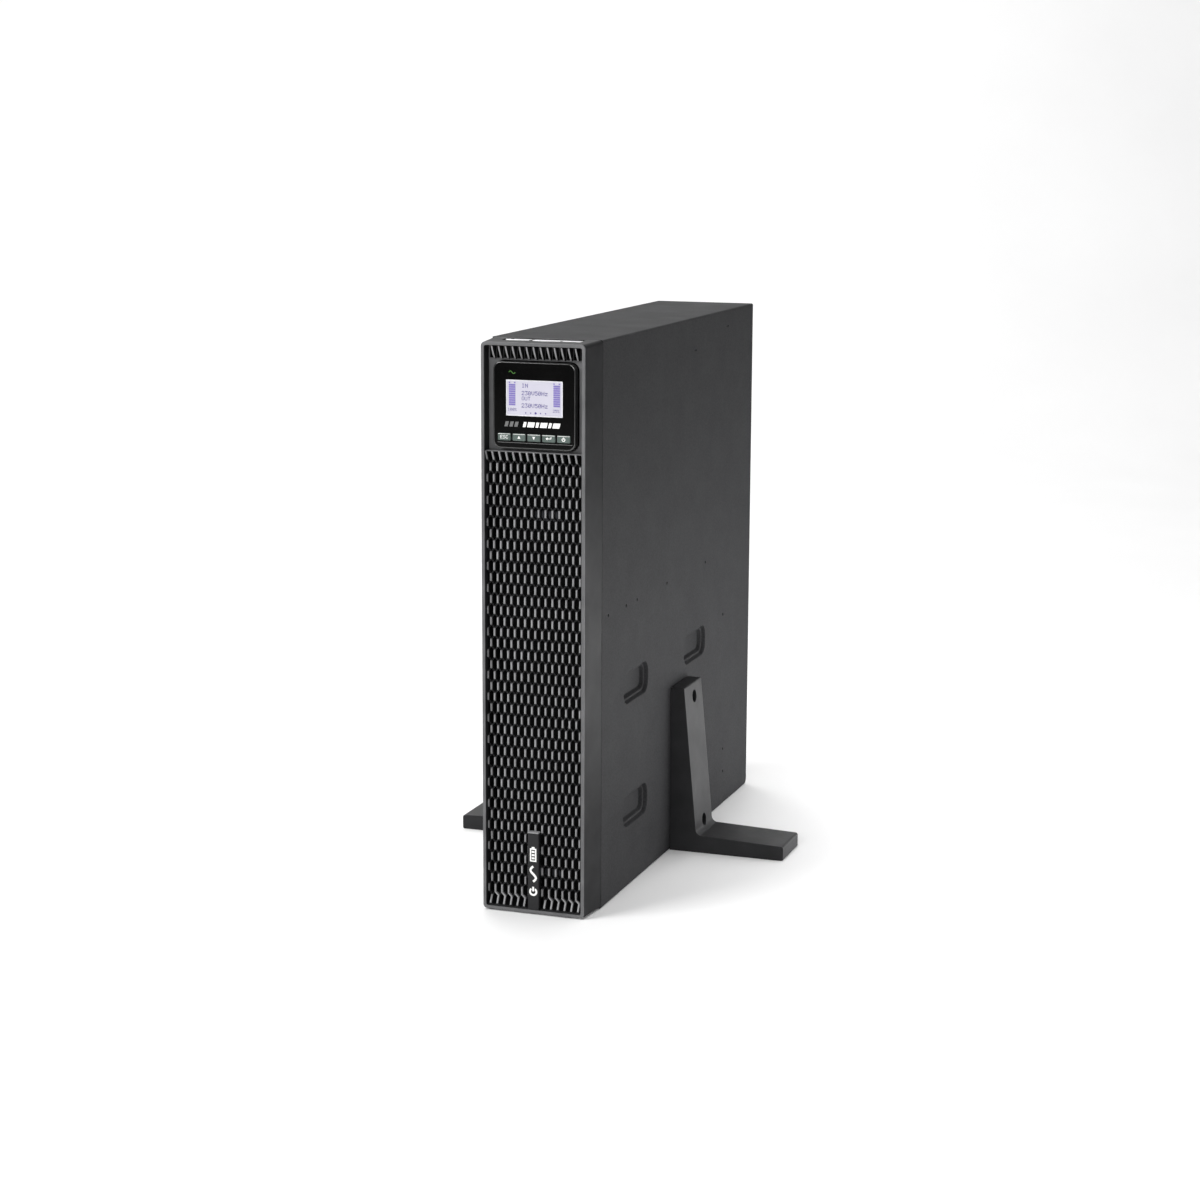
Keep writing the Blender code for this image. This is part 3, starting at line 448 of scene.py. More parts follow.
def gloss_plastic(name, colour, shine=0.5):
    """Polished plastic with a hard clear skin, and faint dust and smears in its gloss."""
    shader = Shader(name, 0.12, Specular_IOR_Level=shine)
    shader.tinted(shader.noise(40, 3), colour, 0.1)
    shader.roughness(shader.noise(22, 6, (1, 1, 2.5)), 0.08, 0.2, 0.45, 0.75)
    shader.bump(shader.noise(55, 2), 0.01, strength=0.25)
    return shader.material


def brushed_metal(name, colour, roughness, stretch=(1, 1, 40)):
    """Metal with fine lines along one axis."""
    shader = Shader(name, roughness, 1.0)
    lines = shader.noise(90, 5, tuple(40 / value for value in stretch))
    shader.tinted(lines, colour, 0.08)
    shader.roughness(lines, roughness - 0.06, roughness + 0.08)
    shader.bump(lines, 0.006, strength=0.5)
    return shader.material


def plated_metal(name, colour, roughness):
    """Plated or cast metal with soft mottling and small pits."""
    shader = Shader(name, roughness, 1.0)
    mottle = shader.noise(140, 5)
    shader.tinted(mottle, colour, 0.14)
    shader.roughness(mottle, roughness - 0.07, roughness + 0.1)
    shader.bump(shader.noise(1500, 3), 0.008, strength=0.5)
    return shader.material


def circuit_board():
    """Green solder mask over a maze of tracks, with gold pads."""
    shader = Shader("circuit_board", 0.35, Coat_Weight=0.3)
    maze = shader.node("TexBrick")
    maze.inputs["Scale"].default_value = 130
    maze.inputs["Mortar Size"].default_value = 0.06
    maze.inputs["Color1"].default_value = (0.008, 0.085, 0.035, 1)
    maze.inputs["Color2"].default_value = (0.010, 0.105, 0.045, 1)
    maze.inputs["Mortar"].default_value = (0.022, 0.2, 0.085, 1)
    swap = shader.node("SeparateXYZ")
    shader.link(shader.where, swap.inputs["Vector"])
    plane = shader.node("CombineXYZ")
    for start, end in (("Y", "X"), ("Z", "Y")):
        shader.link(swap.outputs[start], plane.inputs[end])
    shader.link(plane.outputs["Vector"], maze.inputs["Vector"])
    shader.colour(maze.outputs["Color"])
    shader.bump(maze.outputs["Fac"], 0.03, strength=0.5)
    return shader.material


def lit_screen():
    """Pale violet lit panel, its glow varying softly across it, with its fine dot pitch."""
    shader = Shader("lit_screen", 0.15, Coat_Weight=1.0, Coat_Roughness=0.03, Emission_Strength=0.15)
    glow = shader.ramp(shader.noise(30, 2), [(0.3, (0.43, 0.42, 0.49)), (0.7, (0.48, 0.47, 0.54))])
    shader.colour(glow)
    shader.link(glow, shader.base.inputs["Emission Color"])
    shader.bump(shader.cells(2500), 0.004, strength=0.3)
    return shader.material


def lit_ink(name, colour, strength):
    """Marks that glow a little."""
    shader = Shader(name, 0.3, Emission_Strength=strength)
    shade = shader.tinted(shader.noise(700, 3), colour, 0.08)
    shader.link(shade, shader.base.inputs["Emission Color"])
    return shader.material


def winding():
    """Turns of enamelled copper wire."""
    shader = Shader("copper_turns", 0.3, 1.0, Coat_Weight=0.6)
    wave = shader.node("TexWave", wave_type="RINGS", rings_direction="X")
    wave.inputs["Scale"].default_value = 260
    wave.inputs["Distortion"].default_value = 0.4
    shader.link(shader.where, wave.inputs["Vector"])
    shader.colour(shader.ramp(wave.outputs["Fac"], [(0.2, (0.25, 0.07, 0.02)), (0.7, (0.62, 0.25, 0.09))]))
    shader.bump(wave.outputs["Fac"], 0.3, strength=0.7)
    return shader.material


STEEL = (powder_coat("powder_coat", (0.027, 0.027, 0.0284)), "steel_cover")
DARK_STEEL = (powder_coat("inner_coat", (0.004, 0.004, 0.004)), "steel_cover")
BEZEL = (grained_plastic("bezel_grain", (0.019, 0.019, 0.02), 0.42, shine=0.04), "bezel_plastic")
# A much lighter copy of the bezel plastic, as painted highlight: on the grille ribs, the louvre fins' front
# edges and the badge's lip.
BEZEL_PAINTED_HIGHLIGHT = (grained_plastic("grille_ribs", (0.24, 0.24, 0.245), 0.4, 2600, 0.012), "bezel_plastic")
# A lighter copy of the bezel plastic, as painted light: on the rim's front edge, the recessed face and the
# sill along the grille's top.
BEZEL_PAINTED_LIGHT = (grained_plastic("bezel_painted_light", (0.12, 0.12, 0.123), 0.4, 2600, 0.012, 0.12), "bezel_plastic")
BADGE = (grained_plastic("badge_grain", (0.016, 0.016, 0.017), 0.5, 1500, 0.03, 0.2), "bezel_plastic")
FOOT = (grained_plastic("foot_grain", (0.018, 0.018, 0.0193), 0.46, 1900, 0.025, 0.16), "foot_plastic")
GLOSS = (gloss_plastic("head_gloss", (0.002, 0.002, 0.002), 0.08), "gloss_black")
# Gloss black made lighter for a painted highlight on the head's front edge; its stronger gloss reflects the
# lamps for real.
GLOSS_PAINTED_HIGHLIGHT = (gloss_plastic("head_edge_painted_highlight", (0.03, 0.03, 0.03), 0.9), "gloss_black")
SCREEN = (lit_screen(), "screen")
SCREEN_INK = (lit_ink("screen_violet", (0.16, 0.13, 0.36), 0.08), "screen")
SCREEN_TEXT = (lit_ink("screen_text", (0.05, 0.035, 0.2), 0.02), "screen")
# A pale glowing ring round the screen: a painted highlight on the panel's bevel.
SCREEN_RIM_PAINTED_HIGHLIGHT = (lit_ink("screen_rim_painted_highlight", (0.62, 0.62, 0.65), 0.15), "screen")
GREEN_INK = (lit_ink("signal_green", (0.035, 0.12, 0.015), 0.1), "screen")
# White print that glows a little, which is painted light; the same finish paints the highlight along each
# key's upper edge.
PRINT_AND_HIGHLIGHT = (lit_ink("white_print_and_highlight", (0.78, 0.78, 0.76), 0.05), "screen")
GREY_PRINT = (lit_ink("grey_print", (0.12, 0.12, 0.12), 0.0), "screen")
KEY = (grained_plastic("key_satin", (0.08, 0.105, 0.095), 0.3, 1800, 0.004), "key_plastic")
SATIN = (brushed_metal("satin_bars", (0.5, 0.5, 0.51), 0.34, (40, 1, 1)), "satin_metal")
ZINC = (plated_metal("zinc_plate", (0.5, 0.52, 0.53), 0.42), "zinc_steel")
NICKEL = (plated_metal("nickel_plate", (0.66, 0.65, 0.62), 0.25), "satin_metal")
BLACK_STEEL = (plated_metal("black_oxide", (0.03, 0.03, 0.032), 0.4), "black_steel")
BATTERY = (grained_plastic("battery_shell", (0.05, 0.052, 0.06), 0.5, 1500, 0.03), "battery_case")
BOARD = (circuit_board(), "board_green")
FINS = (brushed_metal("extruded_fins", (0.7, 0.71, 0.73), 0.36, (1, 40, 1)), "aluminium")
SLEEVE = (gloss_plastic("capacitor_skin", (0.02, 0.035, 0.1)), "capacitor_sleeve")
COPPER = (winding(), "copper_winding")
FAN = (grained_plastic("fan_moulding", (0.016, 0.016, 0.018), 0.4, 1700, 0.015), "fan_plastic")
SOCKET = (grained_plastic("socket_moulding", (0.011, 0.011, 0.012), 0.42, 2000, 0.012), "socket_plastic")
GREEN = (grained_plastic("terminal_green", (0.02, 0.24, 0.09), 0.4, 1600, 0.015), "connector_green")
RED = (grained_plastic("button_red", (0.45, 0.02, 0.015), 0.35, 1800, 0.01), "breaker_button")
CABLE = (grained_plastic("cable_jacket", (0.3, 0.015, 0.012), 0.5, 1200, 0.02), "cable_red")
BRASS = (plated_metal("turned_brass", (0.72, 0.5, 0.2), 0.28), "brass")

# ---- Places taken from the frame ----

COVER_LOW, COVER_HIGH = cad("side_cover")
GRILLE_LOW, GRILLE_HIGH = cad("bezel_grille")
HEAD_LOW, HEAD_HIGH = cad("display_head")
HEAD_CENTRE, HEAD_SIZE = front_view("display_head")
REAR_Y = cad("rear_panel")[1].y

FRONT_Y = cad("bezel_frame")[0].y
SEAM_Y = COVER_LOW.y - 0.3
HEIGHT = COVER_HIGH.z
MIDDLE = (0.0, HEIGHT / 2)
HALF_WIDTH = COVER_HIGH.x
TAPER = (3.0, 1.1)
BORDER = 2.4
HOLLOW = (2 * (HALF_WIDTH - TAPER[0] - BORDER), HEIGHT - 2 * (TAPER[1] + BORDER))
HOLLOW_TOP_Z = MIDDLE[1] + HOLLOW[1] / 2


# ---- Bezel ----

OUTER_CORNER = 3.2
INNER_CORNER = 1.6
RIM_DEPTH = 0.9
FACE_Y = FRONT_Y + 10.2
FACE_LOW_Z = 356.1
FACE_TOP_Z = HOLLOW_TOP_Z + 0.2
LOUVRE_PITCH = 5.5
LOUVRE_SLOTS = 14
LOUVRE_LOW_Z = 424.3
LOUVRE_HIGH_Z = 434.2
LATCH_CENTRE = (1.0, SEAM_Y - 10.5)
LATCH_SIZE = (62.0, 13.0)


def make_bezel_frame():
    """The tapered surround, swept round its rim with a soft outer edge and a crisp inner one."""
    depth = SEAM_Y - FRONT_Y

    def outer(back, inset):
        margins = [share * (1 - back / depth) + inset for share in TAPER]
        size = (2 * (HALF_WIDTH - margins[0]), HEIGHT - 2 * margins[1])
        return FRONT_Y + back, rounded(MIDDLE, size, OUTER_CORNER - inset)

    def inner(back, outset):
        return FRONT_Y + back, rounded(MIDDLE, grown(HOLLOW, outset), INNER_CORNER + outset)

    walls = [outer(depth, 0.3), outer(depth - 0.3, 0), outer(RIM_DEPTH, 0)]
    walls += [inner(RIM_DEPTH, 0), inner(depth, 0)]
    mouth = prism("Z", HEIGHT - 6, HEIGHT + 4, rounded(LATCH_CENTRE, LATCH_SIZE, 1.0, 3))
    piece("bezel_surround", hoop("Y", walls), BEZEL, "bezel", ["bezel_frame"], cuts=[mouth])
    # The rim is in the lighter bezel copy: a painted highlight round the front edge.
    edge = [outer(RIM_DEPTH, 0), outer(0.35, 0.04), outer(0.1, 0.15), outer(0, 0.4)]
    edge += [inner(0, 0.15), inner(0.15, 0), inner(RIM_DEPTH, 0)]
    piece("bezel_rim", hoop("Y", edge), BEZEL_PAINTED_LIGHT, "bezel")


def louvre_places(count):
    """The x of a number of slots or fins at the louvre's pitch."""
    return [(number - (count - 1) / 2) * LOUVRE_PITCH for number in range(count)]


def make_bezel_face():
    """The recessed face behind the head, with the head's opening and the louvre's slots."""
    mouth = rounded(HEAD_CENTRE, grown(HEAD_SIZE, 0.4), 6.4, 8)
    slot_z, slot_height = (LOUVRE_LOW_Z + LOUVRE_HIGH_Z) / 2, LOUVRE_HIGH_Z - LOUVRE_LOW_Z
    slots = [rectangle((x, slot_z), (4.2, slot_height)) for x in louvre_places(LOUVRE_SLOTS)]
    centre = (0, (FACE_LOW_Z + FACE_TOP_Z) / 2)
    outer = rectangle(centre, (HOLLOW[0] + 0.4, FACE_TOP_Z - FACE_LOW_Z))
    face = plate("Y", FACE_Y, FACE_Y + 2.5, outer, [mouth, *slots])
    # The face is in the lighter bezel copy: painted light.
    piece("bezel_face", face, BEZEL_PAINTED_LIGHT, "bezel", edge=0.35)


def make_head_sleeve():
    """The short tube that the display head slides in."""
    front, back = FACE_Y + 2.6, FACE_Y + 14.0
    outer = rounded(HEAD_CENTRE, grown(HEAD_SIZE, 2.2), 8.2, 8)
    inner = rounded(HEAD_CENTRE, grown(HEAD_SIZE, 0.45), 6.45, 8)
    sections = [(front, outer), (back, outer), (back, inner), (front, inner)]
    piece("head_sleeve", hoop("Y", sections), BEZEL, "bezel")


def make_louvre():
    """Curved fins between the slots, each with a painted highlight along its front edge."""
    steps = [step / 4 for step in range(5)]
    curve = [(FRONT_Y + 1.5 + 4.2 * t + 1.6 * t * t, FACE_TOP_Z - 0.8 - 9.4 * t) for t in steps]
    back_y, top_z = FACE_Y - 0.1, FACE_TOP_Z - 0.1
    fin = [(back_y, LOUVRE_LOW_Z - 0.5), (back_y, top_z), (FRONT_Y + 1.6, top_z)]
    fin += [(y + 0.3, z) for y, z in curve]
    strip = curve + [(y + 0.5, z) for y, z in curve[::-1]]
    places = louvre_places(LOUVRE_SLOTS - 1)
    fins = merged([prism("X", x - 0.55, x + 0.55, fin) for x in places])
    edges = merged([prism("X", x - 0.6, x + 0.6, strip) for x in places])
    piece("louvre_fins", fins, BEZEL, "bezel")
    piece("louvre_edges", edges, BEZEL_PAINTED_HIGHLIGHT, "bezel", edge=0.12, segments=1)


def make_bezel_tabs():
    """Four clips that hold the bezel to the case."""
    tabs = []
    for x in (-40.6, 40.6):
        for z in (60, 380):
            tabs.append(box((x - 0.8, SEAM_Y - 3, z - 6), (x + 0.8, SEAM_Y + 5, z + 6)))
    piece("bezel_tabs", merged(tabs), BEZEL, "bezel", edge=0.4)


RIB_PITCH = 5.5
RIB_HALF = 0.75
RIB_PROUD = 1.3
ROW_PITCH = 8.38
ROWS = 42
CELL_SIDE = 2.92
CELL_TIP = 4.94
# How far the grille swells forwards at its bottom and at its top, and over what height: (reach, rise)
LOW_SWELL = (10.0, 3.6)
HIGH_SWELL = (7.5, 3.2)
WEB_FACE_Y = GRILLE_LOW.y + RIB_PROUD


def grille_push(z):
    """How far the grille's surface swells forwards at a height, where it meets the surround."""
    push = 0.0
    for distance, (reach, rise) in ((z - GRILLE_LOW.z, LOW_SWELL), (GRILLE_HIGH.z - z, HIGH_SWELL)):
        if distance < reach:
            push = max(push, rise * (0.5 + 0.5 * math.cos(math.pi * max(distance, 0) / reach)))
    return push


def pushed(shell):
    points, faces = shell
    return [(x, y - grille_push(z), z) for x, y, z in points], faces


def grille_ribs():
    """(row, x, z) of every rib, from the top row down, with each other row half a pitch across."""
    for row in range(ROWS):
        for column in range(-8, 9):
            x = (column + (0.5 if row % 2 else 0.0)) * RIB_PITCH
            yield row, x, GRILLE_HIGH.z - ROW_PITCH * (row + 0.5)


def grille_cell(x, z):
    """One six-sided cell, with a flat side where it meets the surround."""
    half_gap, edge = RIB_PITCH / 2 - RIB_HALF, GRILLE_HIGH.x
    if abs(x) + half_gap <= edge:
        right = [(half_gap, -CELL_SIDE), (half_gap, CELL_SIDE)]
        left = [(-half_gap, CELL_SIDE), (-half_gap, -CELL_SIDE)]
        return [(x + u, z + v) for u, v in (*right, (0, CELL_TIP), *left, (0, -CELL_TIP))]
    inner, outer = x - math.copysign(half_gap, x), math.copysign(edge - 0.5, x)
    cell = [(inner, z - CELL_SIDE), (outer, z - CELL_TIP)]
    cell += [(outer, z + CELL_TIP), (inner, z + CELL_SIDE)]
    return cell if x > 0 else cell[::-1]


def make_grille_web():
    """The dark honeycomb of tall six-sided cells."""
    edge, low, high = GRILLE_HIGH.x, GRILLE_LOW.z, GRILLE_HIGH.z
    middles = [(x + RIB_PITCH / 2, z) for _, x, z in grille_ribs()]
    cells = [clipped(grille_cell(x, z), low + 0.8, high - 0.8) for x, z in middles if abs(x) < edge]
    outer = rectangle((0, (low + high) / 2), (2 * edge, high - low))
    web = plate("Y", WEB_FACE_Y, GRILLE_HIGH.y, outer, cells)
    piece("grille_web", pushed(web), BEZEL, "bezel", ["bezel_grille"])


def rib(left, right, bottom, top):
    """A short upright bar with chamfered front edges."""
    sections = []
    for depth, inset in ((0.6, 0.0), (-0.9, 0.0), (-RIB_PROUD, 0.28)):
        heights = [bottom + inset + (top - bottom - 2 * inset) * step / 4 for step in range(5)]
        outline = [(right - inset, z) for z in heights] + [(left + inset, z) for z in heights[::-1]]
        sections.append((WEB_FACE_Y + depth, outline))
    return loft("Y", sections)


def slanting_rib(x, bottom):
    """A bar that leans from a rib's foot to the top of the next rib below."""
    low_x, low_z = x + RIB_PITCH / 2, bottom - ROW_PITCH + 2 * CELL_SIDE
    outline = [(x - RIB_HALF, bottom), (low_x - RIB_HALF, low_z)]
    outline += [(low_x + RIB_HALF, low_z), (x + RIB_HALF, bottom)]
    return prism("Y", WEB_FACE_Y - RIB_PROUD, WEB_FACE_Y + 0.6, outline)


def make_grille_ribs():
    """Ribs that stand proud of the web, lighter than it as a painted highlight, and run together in its
    lowest two rows.
    """
    edge, low, high = GRILLE_HIGH.x, GRILLE_LOW.z, GRILLE_HIGH.z
    ribs = []
    for row, x, z in grille_ribs():
        left, right = max(x - RIB_HALF, -edge), min(x + RIB_HALF, edge)
        bottom = max(z - CELL_SIDE, low + 0.3)
        top = z + CELL_SIDE if row else high - 0.3
        if left < right and bottom < top:
            ribs.append(rib(left, right, bottom, top))
        if row == ROWS - 2 and 2 * RIB_PITCH < abs(x) + RIB_PITCH < edge:
            ribs.append(slanting_rib(x, bottom))
    piece("grille_ribs", pushed(merged(ribs)), BEZEL_PAINTED_HIGHLIGHT, "bezel")
    # Painted light: a thin ledge in the lighter bezel copy along the grille's top, where the bezel lies in
    # shade.
    front_y = WEB_FACE_Y - grille_push(high)
    sill = box((-edge + 0.5, front_y, high - 0.4), (edge - 0.5, FACE_Y, high + 0.25))
    piece("grille_sill", sill, BEZEL_PAINTED_LIGHT, "bezel")


def make_badge_bar():
    """Plain bar flush with the rim, with a small lip at its top in a painted highlight, and generic printed
    signs.
    """
    low, high = cad("badge_bar")
    front, x = low.y + 0.4, (low.x + high.x) / 2
    bar = box((low.x, front, low.z), (high.x, high.y, high.z - 1.2))
    piece("badge_face", bar, BADGE, "bezel", ["badge_bar"], edge=0.5)
    lip = box((low.x, low.y, high.z - 1.1), high)
    piece("badge_lip", lip, BEZEL_PAINTED_HIGHLIGHT, "bezel", edge=0.3)
    signs = battery_sign((x, low.z + 43.5), (5.2, 10.4), 1.0)
    wave = wave_sign((low.z + 28.5, x), 4.4, 12.0, 0.85)
    signs.append([(across, along) for along, across in wave])
    signs += power_sign((x, low.z + 14.5), 2.6, 0.75)
    piece("badge_signs", slabs(signs, front - 0.08, front + 0.2), PRINT_AND_HIGHLIGHT, "bezel")


def power_sign(centre, radius, half_line):
    """An open ring with a short bar in its gap."""
    ring = arc(centre, radius + half_line, 125, 415, 20) + arc(centre, radius - half_line, 415, 125, 20)
    return [ring, rectangle((centre[0], centre[1] + radius * 0.8), (2 * half_line, radius * 1.4))]


def battery_sign(centre, size, line):
    """An upright battery: a frame round three cells, with a cap."""
    x, z = centre
    reach_x, reach_z = (size[0] - line) / 2, (size[1] - line) / 2
    sign = [rectangle((x, z + end), (size[0], line)) for end in (-reach_z, reach_z)]
    sign += [rectangle((x + side, z), (line, size[1] - 2 * line)) for side in (-reach_x, reach_x)]
    sign += [rectangle((x, z + 2.5 * cell), (2.4, 1.5)) for cell in (-1, 0, 1)]
    return [*sign, rectangle((x, z + 5.8), (2.4, 1.2))]


def wave_sign(centre, width, length, half_line):
    """One period of a sine wave as a band along the first coordinate."""
    steps = 20
    outer, inner = [], []
    for step in range(steps + 1):
        t = step / steps
        swing = centre[1] + width / 2 * math.sin(2 * math.pi * t)
        slope = math.atan2(math.pi * width * math.cos(2 * math.pi * t), length)
        along, across = -math.sin(slope) * half_line, math.cos(slope) * half_line
        start = centre[0] + length * (t - 0.5)
        outer.append((start + along, swing + across))
        inner.append((start - along, swing - across))
    return inner + outer[::-1]


def make_latch():
    """Dark well in the top of the bezel with a satin fixed bar and a satin push button, and a dark block
    between them as painted shade in the gap.
    """
    guide_low, guide_high = cad("latch_guide")
    low, high = cad("latch_button")
    wall_z = HOLLOW_TOP_Z - 0.3
    floor_z, top_z = wall_z - 4.2, guide_high.z
    front, back = SEAM_Y - 16.4, SEAM_Y - 8.6
    tub = box(guide_low, (guide_high.x, guide_high.y, wall_z))
    well = box((-29.6, front - 0.5, wall_z - 3.6), (32.0, back + 4.6, wall_z + 3))
    piece("latch_well", tub, SOCKET, "bezel", ["latch_guide"], cuts=[well])
    outline = [(-29.2, back - 1.8), (-26.4, front), (-8.4, front), (-8.4, back), (-22.6, back)]
    outline += [(-22.6, back - 2.4), (-25.2, back - 2.4), (-25.2, back)]
    piece("latch_bar", prism("Z", floor_z, top_z, outline), SATIN, "bezel", edge=0.3)
    # A dark block standing for the shade in the gap between the bar and the button: painted shade.
    gap_shade = box((-8.3, front, floor_z), (-6.0, back, top_z))
    piece("latch_gap_shade", gap_shade, SOCKET, "bezel", edge=0.2)
    pad = box((-5.7, front, low.z), (16.3, front + 7.0, high.z))
    piece("latch_push", pad, SATIN, "latch", ["latch_button"], edge=0.35)
    step = box((-5.7, back - 3.7, low.z), (high.x, back + 1.7, high.z - 0.25))
    piece("latch_push_step", step, SATIN, "latch", edge=0.35)


# ---- Display head ----

KEY_NAMES = ("escape", "up", "down", "enter", "power")
KEY_SIZE = (10.4, 5.5)
KEY_CORNER = 0.9
# The dome of a key cap and the head's front edge, whose lighter colour is a painted highlight: (depth behind
# the front, inset)
CAP_PROFILE = ((0.0, 0.75), (0.06, 0.45), (0.22, 0.18), (0.5, 0.02), (0.9, 0.0), (4.0, 0.0))
LIP_PROFILE = ((0.05, 1.2), (0.0, 0.9), (0.06, 0.6), (0.3, 0.25), (0.7, 0.03), (1.1, 0.0), (1.2, 0.3))
HEAD_CORNER = 6.0
HEAD_WALL = 3.0


def head_ring(depth, inset):
    """The head's outline at a depth behind its front, drawn in by an inset."""
    outline = rounded(HEAD_CENTRE, grown(HEAD_SIZE, -inset), HEAD_CORNER - inset * 0.7, 8)
    return HEAD_LOW.y + depth, outline


def make_display_head():
    """The gloss case, open at the back, with windows for the screen and the keys."""
    front, back = HEAD_LOW.y, HEAD_HIGH.y
    windows = [window_round("display_lens", 0.12)]
    windows += [window_round(f"key_{name}", 0.25, KEY_SIZE) for name in KEY_NAMES]
    inside = rounded(HEAD_CENTRE, grown(HEAD_SIZE, -HEAD_WALL), HEAD_CORNER - HEAD_WALL, 8)
    rings = [head_ring(0.0, 1.0), head_ring(1.0, 0.0), head_ring(back - front, 0.0)]
    rings += [(back, inside), (front + HEAD_WALL, inside)]
    parts = [skin([[place("Y", u, v, along) for u, v in outline] for along, outline in rings], False)]
    for y, outline in (rings[0], rings[-1]):
        flat, triangles = triangulated(outline, windows)
        parts.append(([(x, y, z) for x, z in flat], triangles))
    for hole in windows:
        parts.append(skin([[(x, y, z) for x, z in hole] for y in (front, front + HEAD_WALL)], False))
    made = new_object("head_case", merged(parts))
    joined(made, WELD)
    dress(made, GLOSS, "display", ["display_head"])
    # The front edge, in lighter gloss black: a painted highlight.
    lip = hoop("Y", [head_ring(depth, inset) for depth, inset in LIP_PROFILE])
    piece("head_edge", lip, GLOSS_PAINTED_HIGHLIGHT, "display")


def window_round(node, gap, size=None):
    """A slightly rounded outline round a node, as seen from the front."""
    centre, own_size = front_view(node)
    return rounded(centre, grown(size or own_size, gap), 0.5, 2)


# Dot-matrix letters, each as seven rows of five dots
GLYPHS = {
    "0": "01110 10001 10011 10101 11001 10001 01110",
    "2": "01110 10001 00001 00010 00100 01000 11111",
    "3": "11111 00010 00100 00010 00001 10001 01110",
    "5": "11111 10000 11110 00001 00001 10001 01110",
    "V": "10001 10001 10001 10001 10001 01010 00100",
    "H": "10001 10001 10001 11111 10001 10001 10001",
    "z": "00000 00000 11111 00010 00100 01000 11111",
    "I": "01110 00100 00100 00100 00100 00100 01110",
    "N": "10001 11001 10101 10101 10011 10001 10001",
    "O": "01110 10001 10001 10001 10001 10001 01110",
    "U": "10001 10001 10001 10001 10001 10001 01110",
    "T": "11111 00100 00100 00100 00100 00100 00100",
    "E": "11111 10000 10000 11110 10000 10000 11111",
    "S": "01111 10000 10000 01110 00001 00001 11110",
    "C": "01110 10001 10000 10000 10000 10001 01110",
    "%": "11001 11010 00010 00100 01000 01011 10011",
    "1": "00100 01100 00100 00100 00100 00100 01110",
}


def dots(text, left, low, pitch):
    """Small squares that spell a text from its lower left corner."""
    outlines = []
    for number, letter in enumerate(text):
        for row, bits in enumerate(GLYPHS[letter].split()):
            for column, bit in enumerate(bits):
                if bit == "1":
                    spot = (left + (number * 6 + column + 0.5) * pitch, low + (6.5 - row) * pitch)
                    outlines.append(rectangle(spot, (pitch * 0.92, pitch * 0.92)))
    return outlines


def make_screen():
    """The lit panel with a pale glowing border that paints the highlight on its bevel, level bars and
    readings.
    """
    low, high = cad("display_lens")
    centre, size = front_view("display_lens")
    glass_y = low.y + 0.5
    panel = prism("Y", glass_y, high.y, rounded(centre, size, 0.4, 2))
    piece("screen_panel", panel, SCREEN, "display", ["display_lens"], edge=0.1, segments=1)
    # The border ring is a painted highlight.
    edge = [(glass_y, rounded(centre, size, 0.4, 2))]
    for y, inset in ((low.y + 0.3, 0.1), (low.y + 0.3, 0.8), (glass_y, 0.8)):
        edge.append((y, rounded(centre, grown(size, -inset), 0.3, 2)))
    piece("screen_border", hoop("Y", edge), SCREEN_RIM_PAINTED_HIGHLIGHT, "display")
    x, z = centre
    bars = []
    for bar_x in (x - 17.6, x + 17.6):
        bars += [rectangle((bar_x, z - 5.0 + 1.62 * n), (5.2, 1.34)) for n in range(10)]
        bars += [rectangle((bar_x + n * 4.2, z + 11.3), (1.2, 0.9)) for n in (-0.5, 0.5)]
    text = dots("IN", x - 10.0, z + 7.7, 0.44)
    text += dots("230V50Hz", x - 10.2, z + 2.2, 0.44)
    text += dots("OUT", x - 10.0, z - 1.6, 0.4)
    text += dots("230V50Hz", x - 10.2, z - 7.0, 0.44)
    text += dots("100%", x - 21.0, z - 9.7, 0.3)
    text += dots("25%", x + 14.6, z - 9.7, 0.3)
    text += [circle((x + 1 + 3.9 * n, z - 10.9), 0.5 if n else 0.85, 12) for n in range(-2, 3)]
    for name, outlines, finish in (("screen_bars", bars, SCREEN_INK), ("screen_text", text, SCREEN_TEXT)):
        piece(name, slabs(outlines, low.y + 0.42, low.y + 0.6), finish, "display")


def stripe(x, width):
    """A slanting band where the head has its lettering."""
    z, half_height, slant = HEAD_CENTRE[1] - 13.9, 1.9, 1.0
    low = [(x, z - half_height), (x + width, z - half_height)]
    return low + [(x + width + slant, z + half_height), (x + slant, z + half_height)]


def make_head_signs():
    """Printed signs on the head: the mains wave, two rows of stripes, and the line under the keys."""
    z = HEAD_CENTRE[1]
    bright = [stripe(x + start, width) for x in (-9.0, 1.0, 11.0) for start, width in ((0, 2.2), (3.4, 5.4))]
    signs = {
        "mains_sign": (GREEN_INK, [wave_sign((-17.4, z + 24.5), 1.9, 5.0, 0.3)]),
        "stripe_marks": (PRINT_AND_HIGHLIGHT, bright),
        "stripe_shadows": (GREY_PRINT, [stripe(x, 2.6) for x in (-23.5, -19.6, -15.7)]),
        "key_line": (GREY_PRINT, [rectangle((0.6, z - 27.7), (59.0, 0.35))]),
    }
    for name, (finish, outlines) in signs.items():
        piece(name, slabs(outlines, HEAD_LOW.y - 0.06, HEAD_LOW.y + 0.1), finish, "display")


def key_icon(name):
    """A key's sign as outlines round (0, 0)."""
    if name == "escape":
        return dots("ESC", -3.0, -1.25, 0.36)
    if name == "up":
        return [[(-1.2, -0.9), (1.2, -0.9), (0, 1.2)]]
    if name == "down":
        return [[(-1.2, 0.9), (0, -1.2), (1.2, 0.9)]]
    if name == "enter":
        head = [(-2.4, 0), (-0.9, -1.1), (-0.9, 1.1)]
        return [head, rectangle((0.5, 0), (2.8, 0.6)), rectangle((1.9, 0.7), (0.6, 1.6))]
    return power_sign((0, -0.2), 1.15, 0.27)


